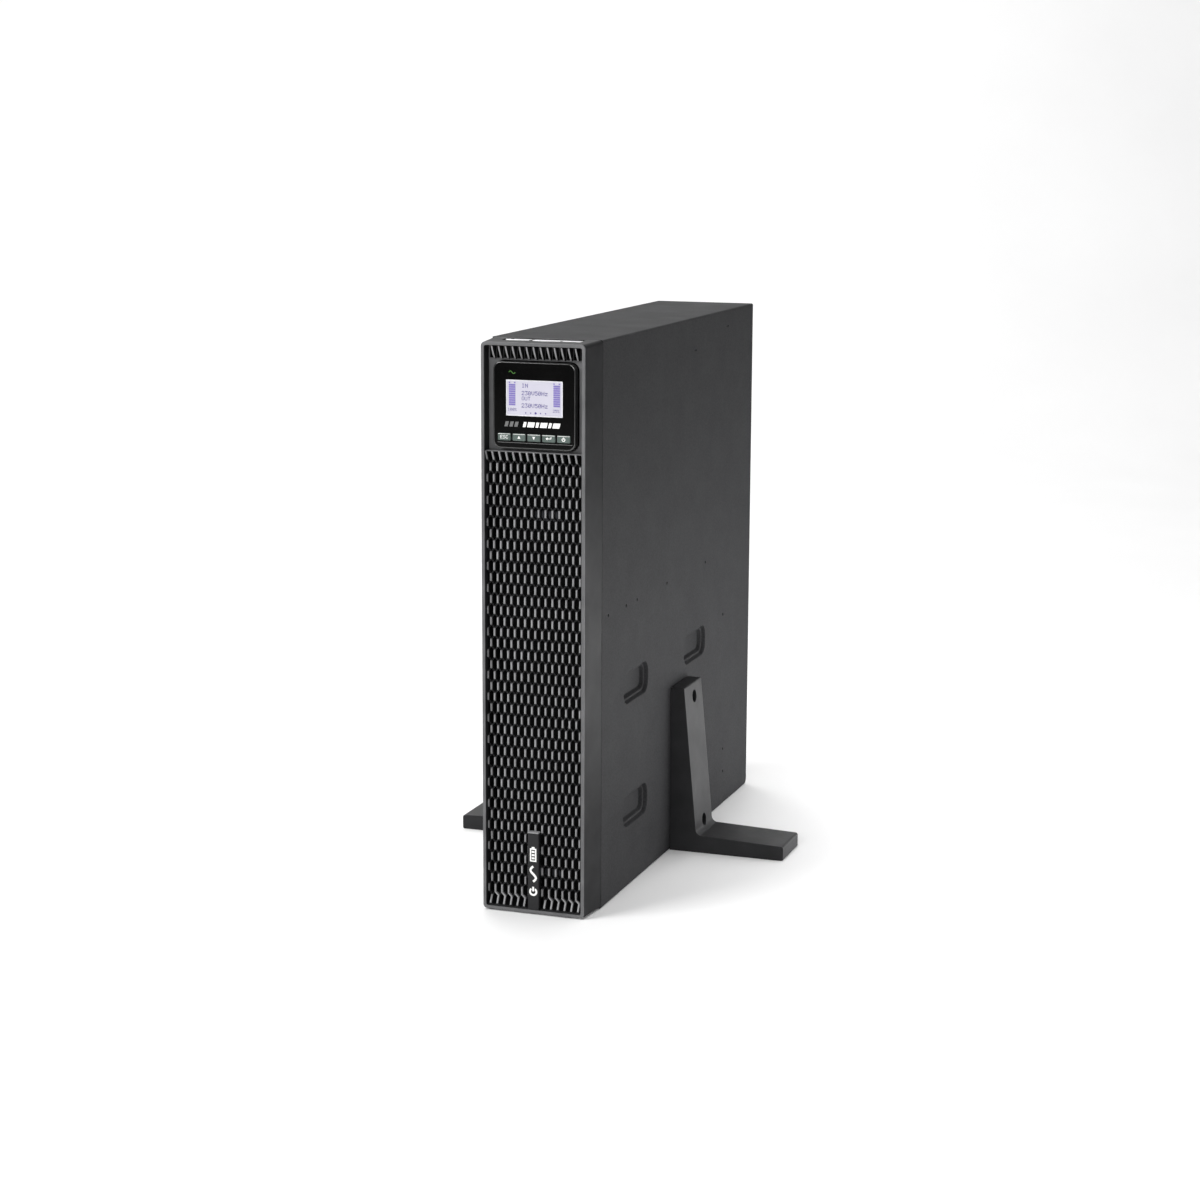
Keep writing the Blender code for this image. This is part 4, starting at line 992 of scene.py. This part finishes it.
def make_key(name):
    """A domed key cap with its printed sign, and a painted highlight along its upper edge in the glowing
    white print.
    """
    node, body = f"key_{name}", f"{name}_key"
    front = cad(node)[0].y
    x, z = front_view(node)[0]
    rings = []
    for depth, inset in CAP_PROFILE:
        outline = rounded((x, z), grown(KEY_SIZE, -inset), KEY_CORNER - inset * 0.5, 4)
        rings.append((front + depth, outline))
    piece(f"{name}_cap", loft("Y", rings), KEY, body, [node])
    icon = [[(x + u, z + v) for u, v in outline] for outline in key_icon(name)]
    piece(f"{name}_sign", slabs(icon, front - 0.05, front + 0.1), PRINT_AND_HIGHLIGHT, body)
    # A painted highlight along the key's upper edge.
    line = rectangle((x, z + 2.25), (9.6, 0.3))
    piece(f"{name}_edge", slabs([line], front + 0.02, front + 0.3), PRINT_AND_HIGHLIGHT, body)


# ---- Steel chassis ----

FAN_SCREW_REACH = 35.75
BEND_RADIUS = 1.5
SHEET = 1.2
BACK_CORNER = 6.0
POCKET_SIZE = (58.5, 24.0)
POCKET_RADIUS = 9.0
POCKET_CENTRES = [(SEAM_Y + y, z) for y in (82.0, 236.6) for z in (61.8, 161.7)]
# Small pressings in the side: (distance behind the seam, height)
SIDE_DIMPLES = [(y, 228) for y in (14.8, 56.9, 83.4, 159.2, 264.8)] + [(319, 173), (324, 50.5), (325, 30)]
SIDE_SLITS = ((231.0, 411.0), (323.0, 424.0))


def back_limit(z):
    """How far back a side reaches at a height, with its lower back corner rounded."""
    drop = max(BACK_CORNER - z, 0.0)
    return COVER_HIGH.y - BACK_CORNER + math.sqrt(BACK_CORNER**2 - drop**2)


def pressed(start, end, steps=6):
    """(inset, depth) pairs of a wall pressed from one to the other with a smooth S section."""
    pairs = []
    for step in range(steps + 1):
        t = step / steps
        rise = t * t * (3 - 2 * t)
        pairs.append((start[0] + (end[0] - start[0]) * t, start[1] + (end[1] - start[1]) * rise))
    return pairs


def sunk(centre, size, radius, profile, steps):
    """The mouth of a pressing, and its shell through (inset, depth) pairs from the side's face to a floor."""
    outlines = [rounded(centre, grown(size, -inset), radius - inset, steps) for inset, _ in profile]
    rings = []
    for outline, (_, depth) in zip(outlines, profile):
        rings.append([place("X", y, z, HALF_WIDTH - depth) for y, z in outline])
    points, faces = skin(rings, False)
    faces.append(tuple(range(len(points) - len(rings[0]), len(points))))
    return outlines[0], (points, faces)


def pocket(centre):
    """A pocket with a ledge half-way down."""
    profile = pressed((-1.0, 0.0), (0.9, 3.0)) + pressed((2.0, 3.0), (4.4, 6.0))
    return sunk(centre, POCKET_SIZE, POCKET_RADIUS, profile, 8)


def dimple(centre, size):
    """A small press mark with rounded ends."""
    return sunk(centre, size, min(size) / 2 - 0.01, ((0.0, 0.0), (0.15, 0.2), (0.35, 0.9)), 3)


def folded_end(end_z, turn):
    """The bend at the side's top or bottom, and the flat sheet that runs on from it."""
    section = []
    for step in range(6):
        angle = math.radians(step * 18)
        x = HALF_WIDTH - BEND_RADIUS * (1 - math.cos(angle))
        section.append((x, end_z - turn * BEND_RADIUS * (1 - math.sin(angle))))
    section.append((COVER_LOW.x, end_z))
    points = [(x, y, z) for x, z in section for y in (COVER_LOW.y, back_limit(z))]
    return points, [(2 * n, 2 * n + 1, 2 * n + 3, 2 * n + 2) for n in range(len(section) - 1)]


def make_side_cover():
    """Folded cover: the right side with its pressed pockets, rounded bends, the top and the bottom."""
    pressings = [pocket(centre) for centre in POCKET_CENTRES]
    pressings += [dimple((SEAM_Y + y, z), (2.8, 2.8)) for y, z in SIDE_DIMPLES]
    pressings += [dimple((SEAM_Y + y, z), (5.0, 1.4)) for y, z in SIDE_SLITS]
    front, back = COVER_LOW.y, COVER_HIGH.y
    low, high = BEND_RADIUS, HEIGHT - BEND_RADIUS
    start = -math.degrees(math.asin((BACK_CORNER - low) / BACK_CORNER))
    corner = arc((back - BACK_CORNER, BACK_CORNER), BACK_CORNER, start, 0, 6)
    wall = [(front, low), *corner, (back, high), (front, high)]
    flat, triangles = triangulated(wall, [outline for outline, _ in pressings])
    shells = [([(HALF_WIDTH, y, z) for y, z in flat], triangles)] + [shell for _, shell in pressings]
    shells += [folded_end(0.0, -1), folded_end(HEIGHT, 1)]
    made = new_object("cover_sheet", merged(shells))
    joined(made, WELD)
    biggest = max(made.data.polygons, key=lambda face: face.area)
    outward = Vector((biggest.center.x, 0, biggest.center.z - HEIGHT / 2 * MM))
    if outward.dot(biggest.normal) < 0:
        made.data.flip_normals()
    thick = made.modifiers.new("sheet", "SOLIDIFY")
    thick.thickness = SHEET * MM
    thick.offset = -1
    apply_modifiers(made)
    dress(made, STEEL, "chassis", ["side_cover"])


def cross(centre, reach, half_width, steps=32):
    """A plus-shaped outline with as many points as a screw's outline."""
    outline = []
    for step in range(steps):
        angle = 2 * math.pi * step / steps
        folded = abs((angle + math.pi / 4) % (math.pi / 2) - math.pi / 4)
        inside = math.tan(folded) <= half_width / reach
        radius = reach / math.cos(folded) if inside else half_width / math.sin(folded)
        outline.append((centre[0] + radius * math.cos(angle), centre[1] + radius * math.sin(angle)))
    return outline


def screw_head(axis, centre, base, height, radius):
    """A pan head with a cross recess; a negative height points the other way."""
    dome = ((0.0, 1.0), (0.45, 1.0), (0.8, 0.9), (1.0, 0.7))
    sections = [(base + height * share, circle(centre, radius * size)) for share, size in dome]
    for share in (0.98, 0.35):
        sections.append((base + height * share, cross(centre, radius * 0.5, radius * 0.14)))
    return loft(axis, sections)


def corners(centre, reach_x, reach_z):
    """Four spots round a centre."""
    return [(centre[0] + x, centre[1] + z) for x in (-reach_x, reach_x) for z in (-reach_z, reach_z)]


def make_chassis_screws():
    """The screws of the rear panel, the slot cover and the fan, and those of the left side."""
    spots = [(x, z) for x in (-38.0, 38.0) for z in (8.0, 222.0, 430.0)]
    heads = [screw_head("Y", spot, REAR_Y - 0.2, 1.9, 2.6) for spot in spots]
    slot_y = cad("slot_cover")[1].y
    centre, size = front_view("slot_cover")
    for spot in corners(centre, size[0] / 2 - 4.5, size[1] / 2 - 5):
        heads.append(screw_head("Y", spot, slot_y - 0.2, 1.5, 2.5))
    for spot in corners(front_view("fan_guard")[0], FAN_SCREW_REACH, FAN_SCREW_REACH):
        heads.append(screw_head("Y", spot, REAR_Y + 0.2, 3.0, 3.2))
    piece("rear_screws", merged(heads), BLACK_STEEL, "chassis")
    left_x = cad("base_tray")[0].x + 0.1
    spots = [(SEAM_Y + y, z) for y in (30, 200, 370) for z in (12, 426)]
    heads = [screw_head("X", spot, left_x, -0.7, 2.4) for spot in spots]
    piece("left_screws", merged(heads), BLACK_STEEL, "chassis")


# ---- Stand feet ----

FOOT_LOW, FOOT_HIGH = cad("foot_right")
FOOT_ROOT = (HALF_WIDTH + 27.7, 19.4)
FOOT_ROOT_RADIUS = 5.0
FOOT_ARM_TOP = 11.7
FOOT_TIP_HEIGHT = 12.0
FOOT_BACK_ROUND = 4.5
FOOT_SINK_RADIUS = 5.4
FOOT_SCREW_RADIUS = 4.4


def foot_outline(inset):
    """The L shape from the front, drawn in by an inset on its outer side only."""
    inner, tip, top = FOOT_LOW.x, FOOT_HIGH.x - inset, FOOT_HIGH.z - inset
    arm = HALF_WIDTH + FOOT_ARM_TOP - inset
    tip_top = FOOT_TIP_HEIGHT - inset
    outline = [(inner, 0), (tip - 1.5, 0), *arc((tip - 1.5, 1.5), 1.5, -60, 0, 2)]
    outline += arc((tip - 2.0, tip_top - 2.0), 2.0, 0, 90, 4)
    outline += arc(FOOT_ROOT, FOOT_ROOT_RADIUS + inset, 268, 185, 8)
    outline += arc((arm - 1.2, top - 1.2), 1.2, 0, 90, 3)
    return outline + [(inner, top)]


def foot_screw(node):
    """A foot screw's (y, z) centre, and how far out its head comes."""
    low, high = cad(node)
    return ((low.y + high.y) / 2, (low.z + high.z) / 2), max(abs(low.x), abs(high.x))


def make_foot(name, side):
    """An L-shaped foot with its back edge rounded, and its two screws in their sinks."""
    front, back = FOOT_LOW.y, FOOT_HIGH.y
    sections = [(front + depth, foot_outline(inset)) for depth, inset in ((0, 0.45), (0.14, 0.14), (0.45, 0))]
    for step in range(7):
        angle = math.radians(step * 15)
        inset = FOOT_BACK_ROUND * (1 - math.cos(angle))
        sections.append((back - FOOT_BACK_ROUND * (1 - math.sin(angle)), foot_outline(inset)))
    screws = [f"foot_screw_{name}_{level}" for level in ("lower", "upper")]
    cuts = []
    for centre, head_x in map(foot_screw, screws):
        sink = prism("X", head_x - 3.1, HALF_WIDTH + 40, circle(centre, FOOT_SINK_RADIUS, 40))
        shaft = prism("X", HALF_WIDTH - 2, head_x, circle(centre, 2.4, 24))
        cuts += [on_side(side, sink), on_side(side, shaft)]
    body = on_side(side, loft("Y", sections))
    piece(f"foot_{name}_moulding", body, FOOT, "chassis", [f"foot_{name}"], cuts=cuts)
    for node in screws:
        centre, head_x = foot_screw(node)
        shank = prism("X", HALF_WIDTH - 4.5, head_x - 2.6, circle(centre, 2.0, 24))
        head = screw_head("X", centre, head_x - 2.8, 2.8, FOOT_SCREW_RADIUS)
        piece(f"{node}_head", on_side(side, merged([shank, head])), BLACK_STEEL, "chassis", [node])


# ---- Rear fittings ----

OUTLETS_PER_BANK = 4
OUTLET_LOW_Z = 112.0
OUTLET_PITCH = 28.0


def make_fan_guard():
    """Wire rings on two crossed spokes, with an eye for each of the fan's screws."""
    low, high = cad("fan_guard")
    centre = front_view("fan_guard")[0]
    wire_y = high.y - 0.9
    wires = [wire_ring("Y", centre, radius, wire_y, 0.85) for radius in (8.0, 14.5, 21.0, 27.5, 34.0, 40.6)]
    ends = zip(corners(centre, 5.6, 5.6), corners(centre, 32.6, 32.6))
    wires += [rod((a[0], wire_y - 0.5, a[1]), (b[0], wire_y - 0.5, b[1]), 0.8) for a, b in ends]
    for eye in corners(centre, FAN_SCREW_REACH, FAN_SCREW_REACH):
        wires.append(wire_ring("Y", eye, 3.6, low.y + 0.9, 0.8, 28))
    piece("guard_wires", merged(wires), NICKEL, "chassis", ["fan_guard"])


def make_fan_rotor():
    """A hub with rounded ends and seven cambered blades."""
    low, high = cad("fan_rotor")
    centre = front_view("fan_guard")[0]
    centre_y, hub = (low.y + high.y) / 2, 17.0
    profile = [(low.y, hub - 3), (low.y + 0.6, hub - 1.2), (low.y + 2.0, hub), (high.y - 1.0, hub)]
    profile += [(high.y - 0.3, hub - 0.7), (high.y, hub - 2), (high.y, 4.5), (high.y - 1.0, 4.0)]
    shells = [turned("Y", centre, profile, 48)]
    shells += [fan_blade(centre, centre_y, 2 * math.pi * number / 7) for number in range(7)]
    piece("rotor_blades", merged(shells), FAN, "fan", ["fan_rotor"])


def fan_blade(centre, centre_y, middle):
    """A cambered blade that flattens towards its tip."""
    rings = []
    for span in (0.0, 0.2, 0.4, 0.6, 0.8, 1.0):
        radius = 15.5 + 20.6 * span
        half_chord, pitch = 8.5 + 4.5 * span, math.radians(52 - 20 * span)
        ring = []
        for step in range(16):
            turn = 2 * math.pi * step / 16
            along = half_chord * math.cos(turn)
            camber = 1.8 * (1 - math.cos(turn) ** 2) + 0.65 * math.sin(turn)
            swing = middle + (along * math.cos(pitch) - camber * math.sin(pitch)) / radius
            y = centre_y + along * math.sin(pitch) + (camber - 0.9) * math.cos(pitch)
            ring.append((centre[0] + radius * math.cos(swing), y, centre[1] + radius * math.sin(swing)))
        rings.append(ring)
    points, faces = skin(rings, False)
    return points, faces + [tuple(range(16)), tuple(range(len(points) - 16, len(points)))]


def contacts(spots, size, base, tip):
    """Flat blades that stand out of the floors of recesses."""
    return slabs([rounded(spot, size, 0.35, 2) for spot in spots], base, tip)


def make_outlet(name, x, z, face):
    """The island inside an outlet, with three slots and a brass spring in each."""
    island = prism("Y", face - 13.3, face, rounded((x, z), (9.6, 17.4), 2.2, 3))
    spots = [(x + 2.0, z), (x - 1.6, z - 5.4), (x - 1.6, z + 5.4)]
    slots = [prism("Y", face - 9.0, face + 2, rectangle(spot, (4.6, 2.2))) for spot in spots]
    piece(f"{name}_island", island, SOCKET, "chassis", cuts=slots, edge=0.3)
    springs = contacts(spots, (4.0, 1.2), face - 9.2, face - 4.0)
    piece(f"{name}_springs", springs, BRASS, "chassis")


def make_outlets():
    for bank in (1, 2):
        node = f"outlet_bank_{bank}"
        refined(node, SOCKET, 0.5)
        for number in range(OUTLETS_PER_BANK):
            z = OUTLET_LOW_Z + OUTLET_PITCH * number
            x, face = front_view(node)[0][0], cad(node)[1].y - 2.0
            make_outlet(f"outlet_{bank}_{number + 1}", x, z, face)


def make_inlet():
    """The mains inlet with its three pins and two screws."""
    refined("power_inlet", SOCKET, 0.5)
    x, z = front_view("power_inlet")[0]
    face = cad("power_inlet")[1].y
    spots = [(x, z + 2.6), (x - 6.5, z - 2.4), (x + 6.5, z - 2.4)]
    piece("inlet_pins", contacts(spots, (2.0, 5.6), face - 15.2, face - 3.0), NICKEL, "chassis")
    heads = [screw_head("Y", (x + side, z), face - 0.2, 1.4, 2.6) for side in (-20.6, 20.6)]
    piece("inlet_screws", merged(heads), BLACK_STEEL, "chassis")


def make_pack_port():
    """The external battery port with its four brass contacts."""
    refined("battery_pack_port", SOCKET, 0.5)
    face = cad("battery_pack_port")[1].y
    spots = corners(front_view("battery_pack_port")[0], 12, 3.4)
    piece("pack_contacts", contacts(spots, (9.0, 1.6), face - 12.2, face - 3.0), BRASS, "chassis")


def make_usb_port():
    refined("usb_port", NICKEL, 0.3)
    face = cad("usb_port")[1].y
    tongue = slabs([rounded(front_view("usb_port")[0], (5.4, 3.0), 0.3, 2)], face - 9.2, face - 1.2)
    piece("usb_tongue", tongue, SOCKET, "chassis", edge=0.2)


def make_serial_port():
    """A nine-way port: plated shell, core with holes, and two jack posts."""
    refined("serial_port", NICKEL, 0.3)
    face, tip = cad("serial_port")[1].y, cad("ground_stud")[1].y - 0.1
    x, z = front_view("serial_port")[0]
    shell = [
        (face - 0.3, rounded((x, z), (8.8, 17.6), 2.4, 5)),
        (tip, rounded((x, z), (8.2, 17.0), 2.1, 5)),
        (tip, rounded((x, z), (7.4, 16.2), 1.7, 5)),
        (face - 0.3, rounded((x, z), (7.4, 16.2), 1.7, 5)),
    ]
    piece("serial_shell", hoop("Y", shell), NICKEL, "chassis")
    holes = [circle((x - 1.4, z + 2.8 * n), 0.6, 12) for n in (-2, -1, 0, 1, 2)]
    holes += [circle((x + 1.4, z + 2.8 * n), 0.6, 12) for n in (-1.5, -0.5, 0.5, 1.5)]
    core = plate("Y", face - 0.2, tip - 0.3, rounded((x, z), (7.3, 16.1), 1.65, 5), holes)
    piece("serial_core", core, SOCKET, "chassis")
    posts = [hex_post((x, z + side), face - 0.2, tip) for side in (-12.2, 12.2)]
    piece("serial_posts", merged(posts), NICKEL, "chassis")


def hex_post(centre, base, tip):
    """A hexagonal jack post with a threaded mouth."""
    sections = [(base, circle(centre, 2.4, 6)), (tip, circle(centre, 2.3, 6))]
    sections += [(tip, circle(centre, 1.2, 6)), (base + 0.4, circle(centre, 1.1, 6))]
    return loft("Y", sections)


def make_contact_block():
    """The green terminal block with its four screws."""
    refined("contact_block", GREEN, 0.4)
    face = cad("contact_block")[1].y
    x, z = front_view("contact_block")[0]
    heads = [screw_head("Y", (x - 2.4, z + 2.8 * n), face - 0.2, 0.6, 1.15) for n in (-1.5, -0.5, 0.5, 1.5)]
    piece("contact_screws", merged(heads), NICKEL, "chassis")


def make_ground():
    """A threaded brass stud with a six-sided nut."""
    low, high = cad("ground_stud")
    centre = front_view("ground_stud")[0]
    sections = [(REAR_Y + 0.3, circle(centre, 4.6, 6)), (REAR_Y + 2.0, circle(centre, 4.6, 6))]
    nut = loft("Y", sections + [(REAR_Y + 2.2, circle(centre, 4.2, 6))])
    threads = [(low.y, 2.0)]
    y = low.y + 0.3
    while y < high.y - 0.6:
        threads += [(y, 2.35), (y + 0.3, 2.0)]
        y += 0.6
    threads += [(high.y, 1.7)]
    stud = turned("Y", centre, threads, 24)
    piece("ground_nut", merged([nut, stud]), BRASS, "chassis", ["ground_stud"])


def make_breaker():
    """The breaker's red button, with its collar round it."""
    low, high = cad("breaker_button")
    centre = front_view("breaker_button")[0]
    profile = [(low.y, 3.2), (high.y - 1.2, 3.2), (high.y - 0.4, 2.9), (high.y, 2.2), (high.y - 0.25, 1.8)]
    piece("breaker_cap", turned("Y", centre, profile, 32), RED, "breaker", ["breaker_button"])
    low, high = cad("breaker_body")
    profile = [(low.y, 8.6), (low.y + 0.4, 9.0), (REAR_Y - 1.6, 9.0), (REAR_Y - 1.6, 6.0)]
    profile += [(REAR_Y + 0.3, 6.0), (REAR_Y + 0.3, 7.9), (REAR_Y + 1.2, 7.8), (high.y, 6.8)]
    barrel = turned("Y", centre, profile, 40)
    bore = prism("Y", REAR_Y - 11.5, REAR_Y + HALF_WIDTH, circle(centre, 3.6, 32))
    piece("breaker_collar", barrel, SOCKET, "chassis", ["breaker_body"], cuts=[bore])


def numbered(name, count):
    return [f"{name}_{number}" for number in range(1, count + 1)]


# CAD nodes kept in their own shape, with whole faces, soft edges and a full finish: (finish, edge, nodes)
KEPT = [
    (STEEL, 0.35, ["base_tray"]),
    (STEEL, 0.2, ["rear_panel"]),
    (STEEL, 0.3, ["slot_cover"]),
    (DARK_STEEL, 0.2, ["front_panel", "battery_door"]),
    (ZINC, 0.2, ["bay_wall", "battery_tray"]),
    (ZINC, 0.3, ["lcd_panel"]),
    (BATTERY, 1.2, numbered("battery", 3)),
    (BATTERY, 1.0, ["transformer"]),
    (SOCKET, 0.3, ["battery_connector"]),
    (CABLE, 0.0, ["battery_lead"]),
    (BOARD, 0.15, ["power_board", "control_board", "display_board"]),
    (BEZEL, 0.2, ["display_back"]),
    (FINS, 0.25, numbered("heatsink", 2)),
    (COPPER, 0.6, numbered("inductor", 2)),
    (SLEEVE, 0.3, numbered("bulk_capacitor", 4)),
    (SOCKET, 0.3, numbered("relay", 2)),
    (FAN, 0.4, ["fan_frame"]),
]


# ---- Studio ----

CAMERA_SPOT = (0.66758, -1.96207, 0.60302)
CAMERA_YAW, CAMERA_PITCH, CAMERA_ROLL = 19.392, 10.838, 0.228
CAMERA_LENS = 76.34
FLOOR_FRONT, FLOOR_WIDTH = -4.0, 12.0
SWEEP_START, SWEEP_RADIUS = 2.2, 1.2
BACKDROP_TOP = 5.0
AIR_STRENGTH = 0.12
# Where each soft box hangs, what it points at, its size, and its power in watts
SOFT_BOXES = {
    "top_box": ((-0.1, 0.1, 2.2), (0, 0.1, 0), (1.8, 1.8), 25),
    "key_box": ((-1.7, -2.0, 2.0), (0, -0.1, 0.2), (1.3, 1.3), 66),
    "front_box": ((0.1, -3.0, 1.2), (0, -0.2, 0.2), (1.2, 1.2), 42),
    "low_box": ((0.54, 0.22, 0.1), (0.044, 0.16, -0.24), (0.7, 0.12), 3.8),
    "sweep_box": ((-1.0, 1.9, 3.4), (-1.3, 3.6, 0.8), (3.4, 0.8), 72),
}


def make_floor():
    """Pale floor that sweeps up into a backdrop, square to the camera. Its profile is in metres."""
    turns = [math.radians(angle) for angle in range(9, 91, 9)]
    profile = [(FLOOR_FRONT, 0.0), (SWEEP_START, 0.0)]
    profile += [(SWEEP_START + SWEEP_RADIUS * math.sin(a), SWEEP_RADIUS * (1 - math.cos(a))) for a in turns]
    profile += [(SWEEP_START + SWEEP_RADIUS, BACKDROP_TOP)]
    half_width = FLOOR_WIDTH / 2
    points = [(x / MM, y / MM, z / MM) for x in (-half_width, half_width) for y, z in profile]
    count = len(profile)
    faces = [(n, n + 1, n + 1 + count, n + count) for n in range(count - 1)]
    floor = new_object("studio_floor", (points, faces))
    floor.rotation_euler.z = math.radians(CAMERA_YAW)
    paper = Shader("studio_white", 0.85)
    paper.tinted(paper.noise(3, 2), (0.9, 0.9, 0.9), 0.01)
    floor.data.materials.append(paper.material)
    floor.data.shade_smooth()


def make_air():
    world = bpy.data.worlds.new("studio_air")
    world.use_nodes = True
    sky = world.node_tree.nodes["Background"]
    sky.inputs["Color"].default_value = (1, 1, 1, 1)
    sky.inputs["Strength"].default_value = AIR_STRENGTH
    bpy.context.scene.world = world


def soft_box(name, spot, target, size, power):
    light = bpy.data.lights.new(name, "AREA")
    light.shape = "RECTANGLE"
    light.size, light.size_y = size
    light.energy = power
    lamp = bpy.data.objects.new(name, light)
    lamp.location = spot
    lamp.rotation_euler = (Vector(target) - Vector(spot)).to_track_quat("-Z", "Y").to_euler()
    bpy.context.scene.collection.objects.link(lamp)


def make_camera():
    yaw, pitch, roll = (math.radians(angle) for angle in (CAMERA_YAW, CAMERA_PITCH, CAMERA_ROLL))
    forward = Vector((-math.sin(yaw) * math.cos(pitch), math.cos(yaw) * math.cos(pitch), -math.sin(pitch)))
    level = Vector((math.cos(yaw), math.sin(yaw), 0))
    upward = level.cross(forward)
    right = math.cos(roll) * level + math.sin(roll) * upward
    up = -math.sin(roll) * level + math.cos(roll) * upward
    lens = bpy.data.cameras.new("camera")
    lens.lens = CAMERA_LENS
    lens.sensor_width = 36
    camera = bpy.data.objects.new("camera", lens)
    turn = Matrix((right, up, -forward)).transposed().to_4x4()
    camera.matrix_world = Matrix.Translation(CAMERA_SPOT) @ turn
    bpy.context.scene.collection.objects.link(camera)
    bpy.context.scene.camera = camera
    bpy.context.scene.view_settings.view_transform = "Standard"


def main():
    make_bezel_frame()
    make_bezel_face()
    make_head_sleeve()
    make_louvre()
    make_bezel_tabs()
    make_grille_web()
    make_grille_ribs()
    make_badge_bar()
    make_latch()
    make_display_head()
    make_screen()
    make_head_signs()
    for name in KEY_NAMES:
        make_key(name)
    make_side_cover()
    make_chassis_screws()
    make_foot("right", 1)
    make_foot("left", -1)
    make_fan_guard()
    make_fan_rotor()
    make_outlets()
    make_inlet()
    make_pack_port()
    make_usb_port()
    make_serial_port()
    make_contact_block()
    make_ground()
    make_breaker()
    for finish, edge, nodes in KEPT:
        for node in nodes:
            refined(node, finish, edge)
    make_floor()
    make_air()
    for name, settings in SOFT_BOXES.items():
        soft_box(name, *settings)
    make_camera()


main()
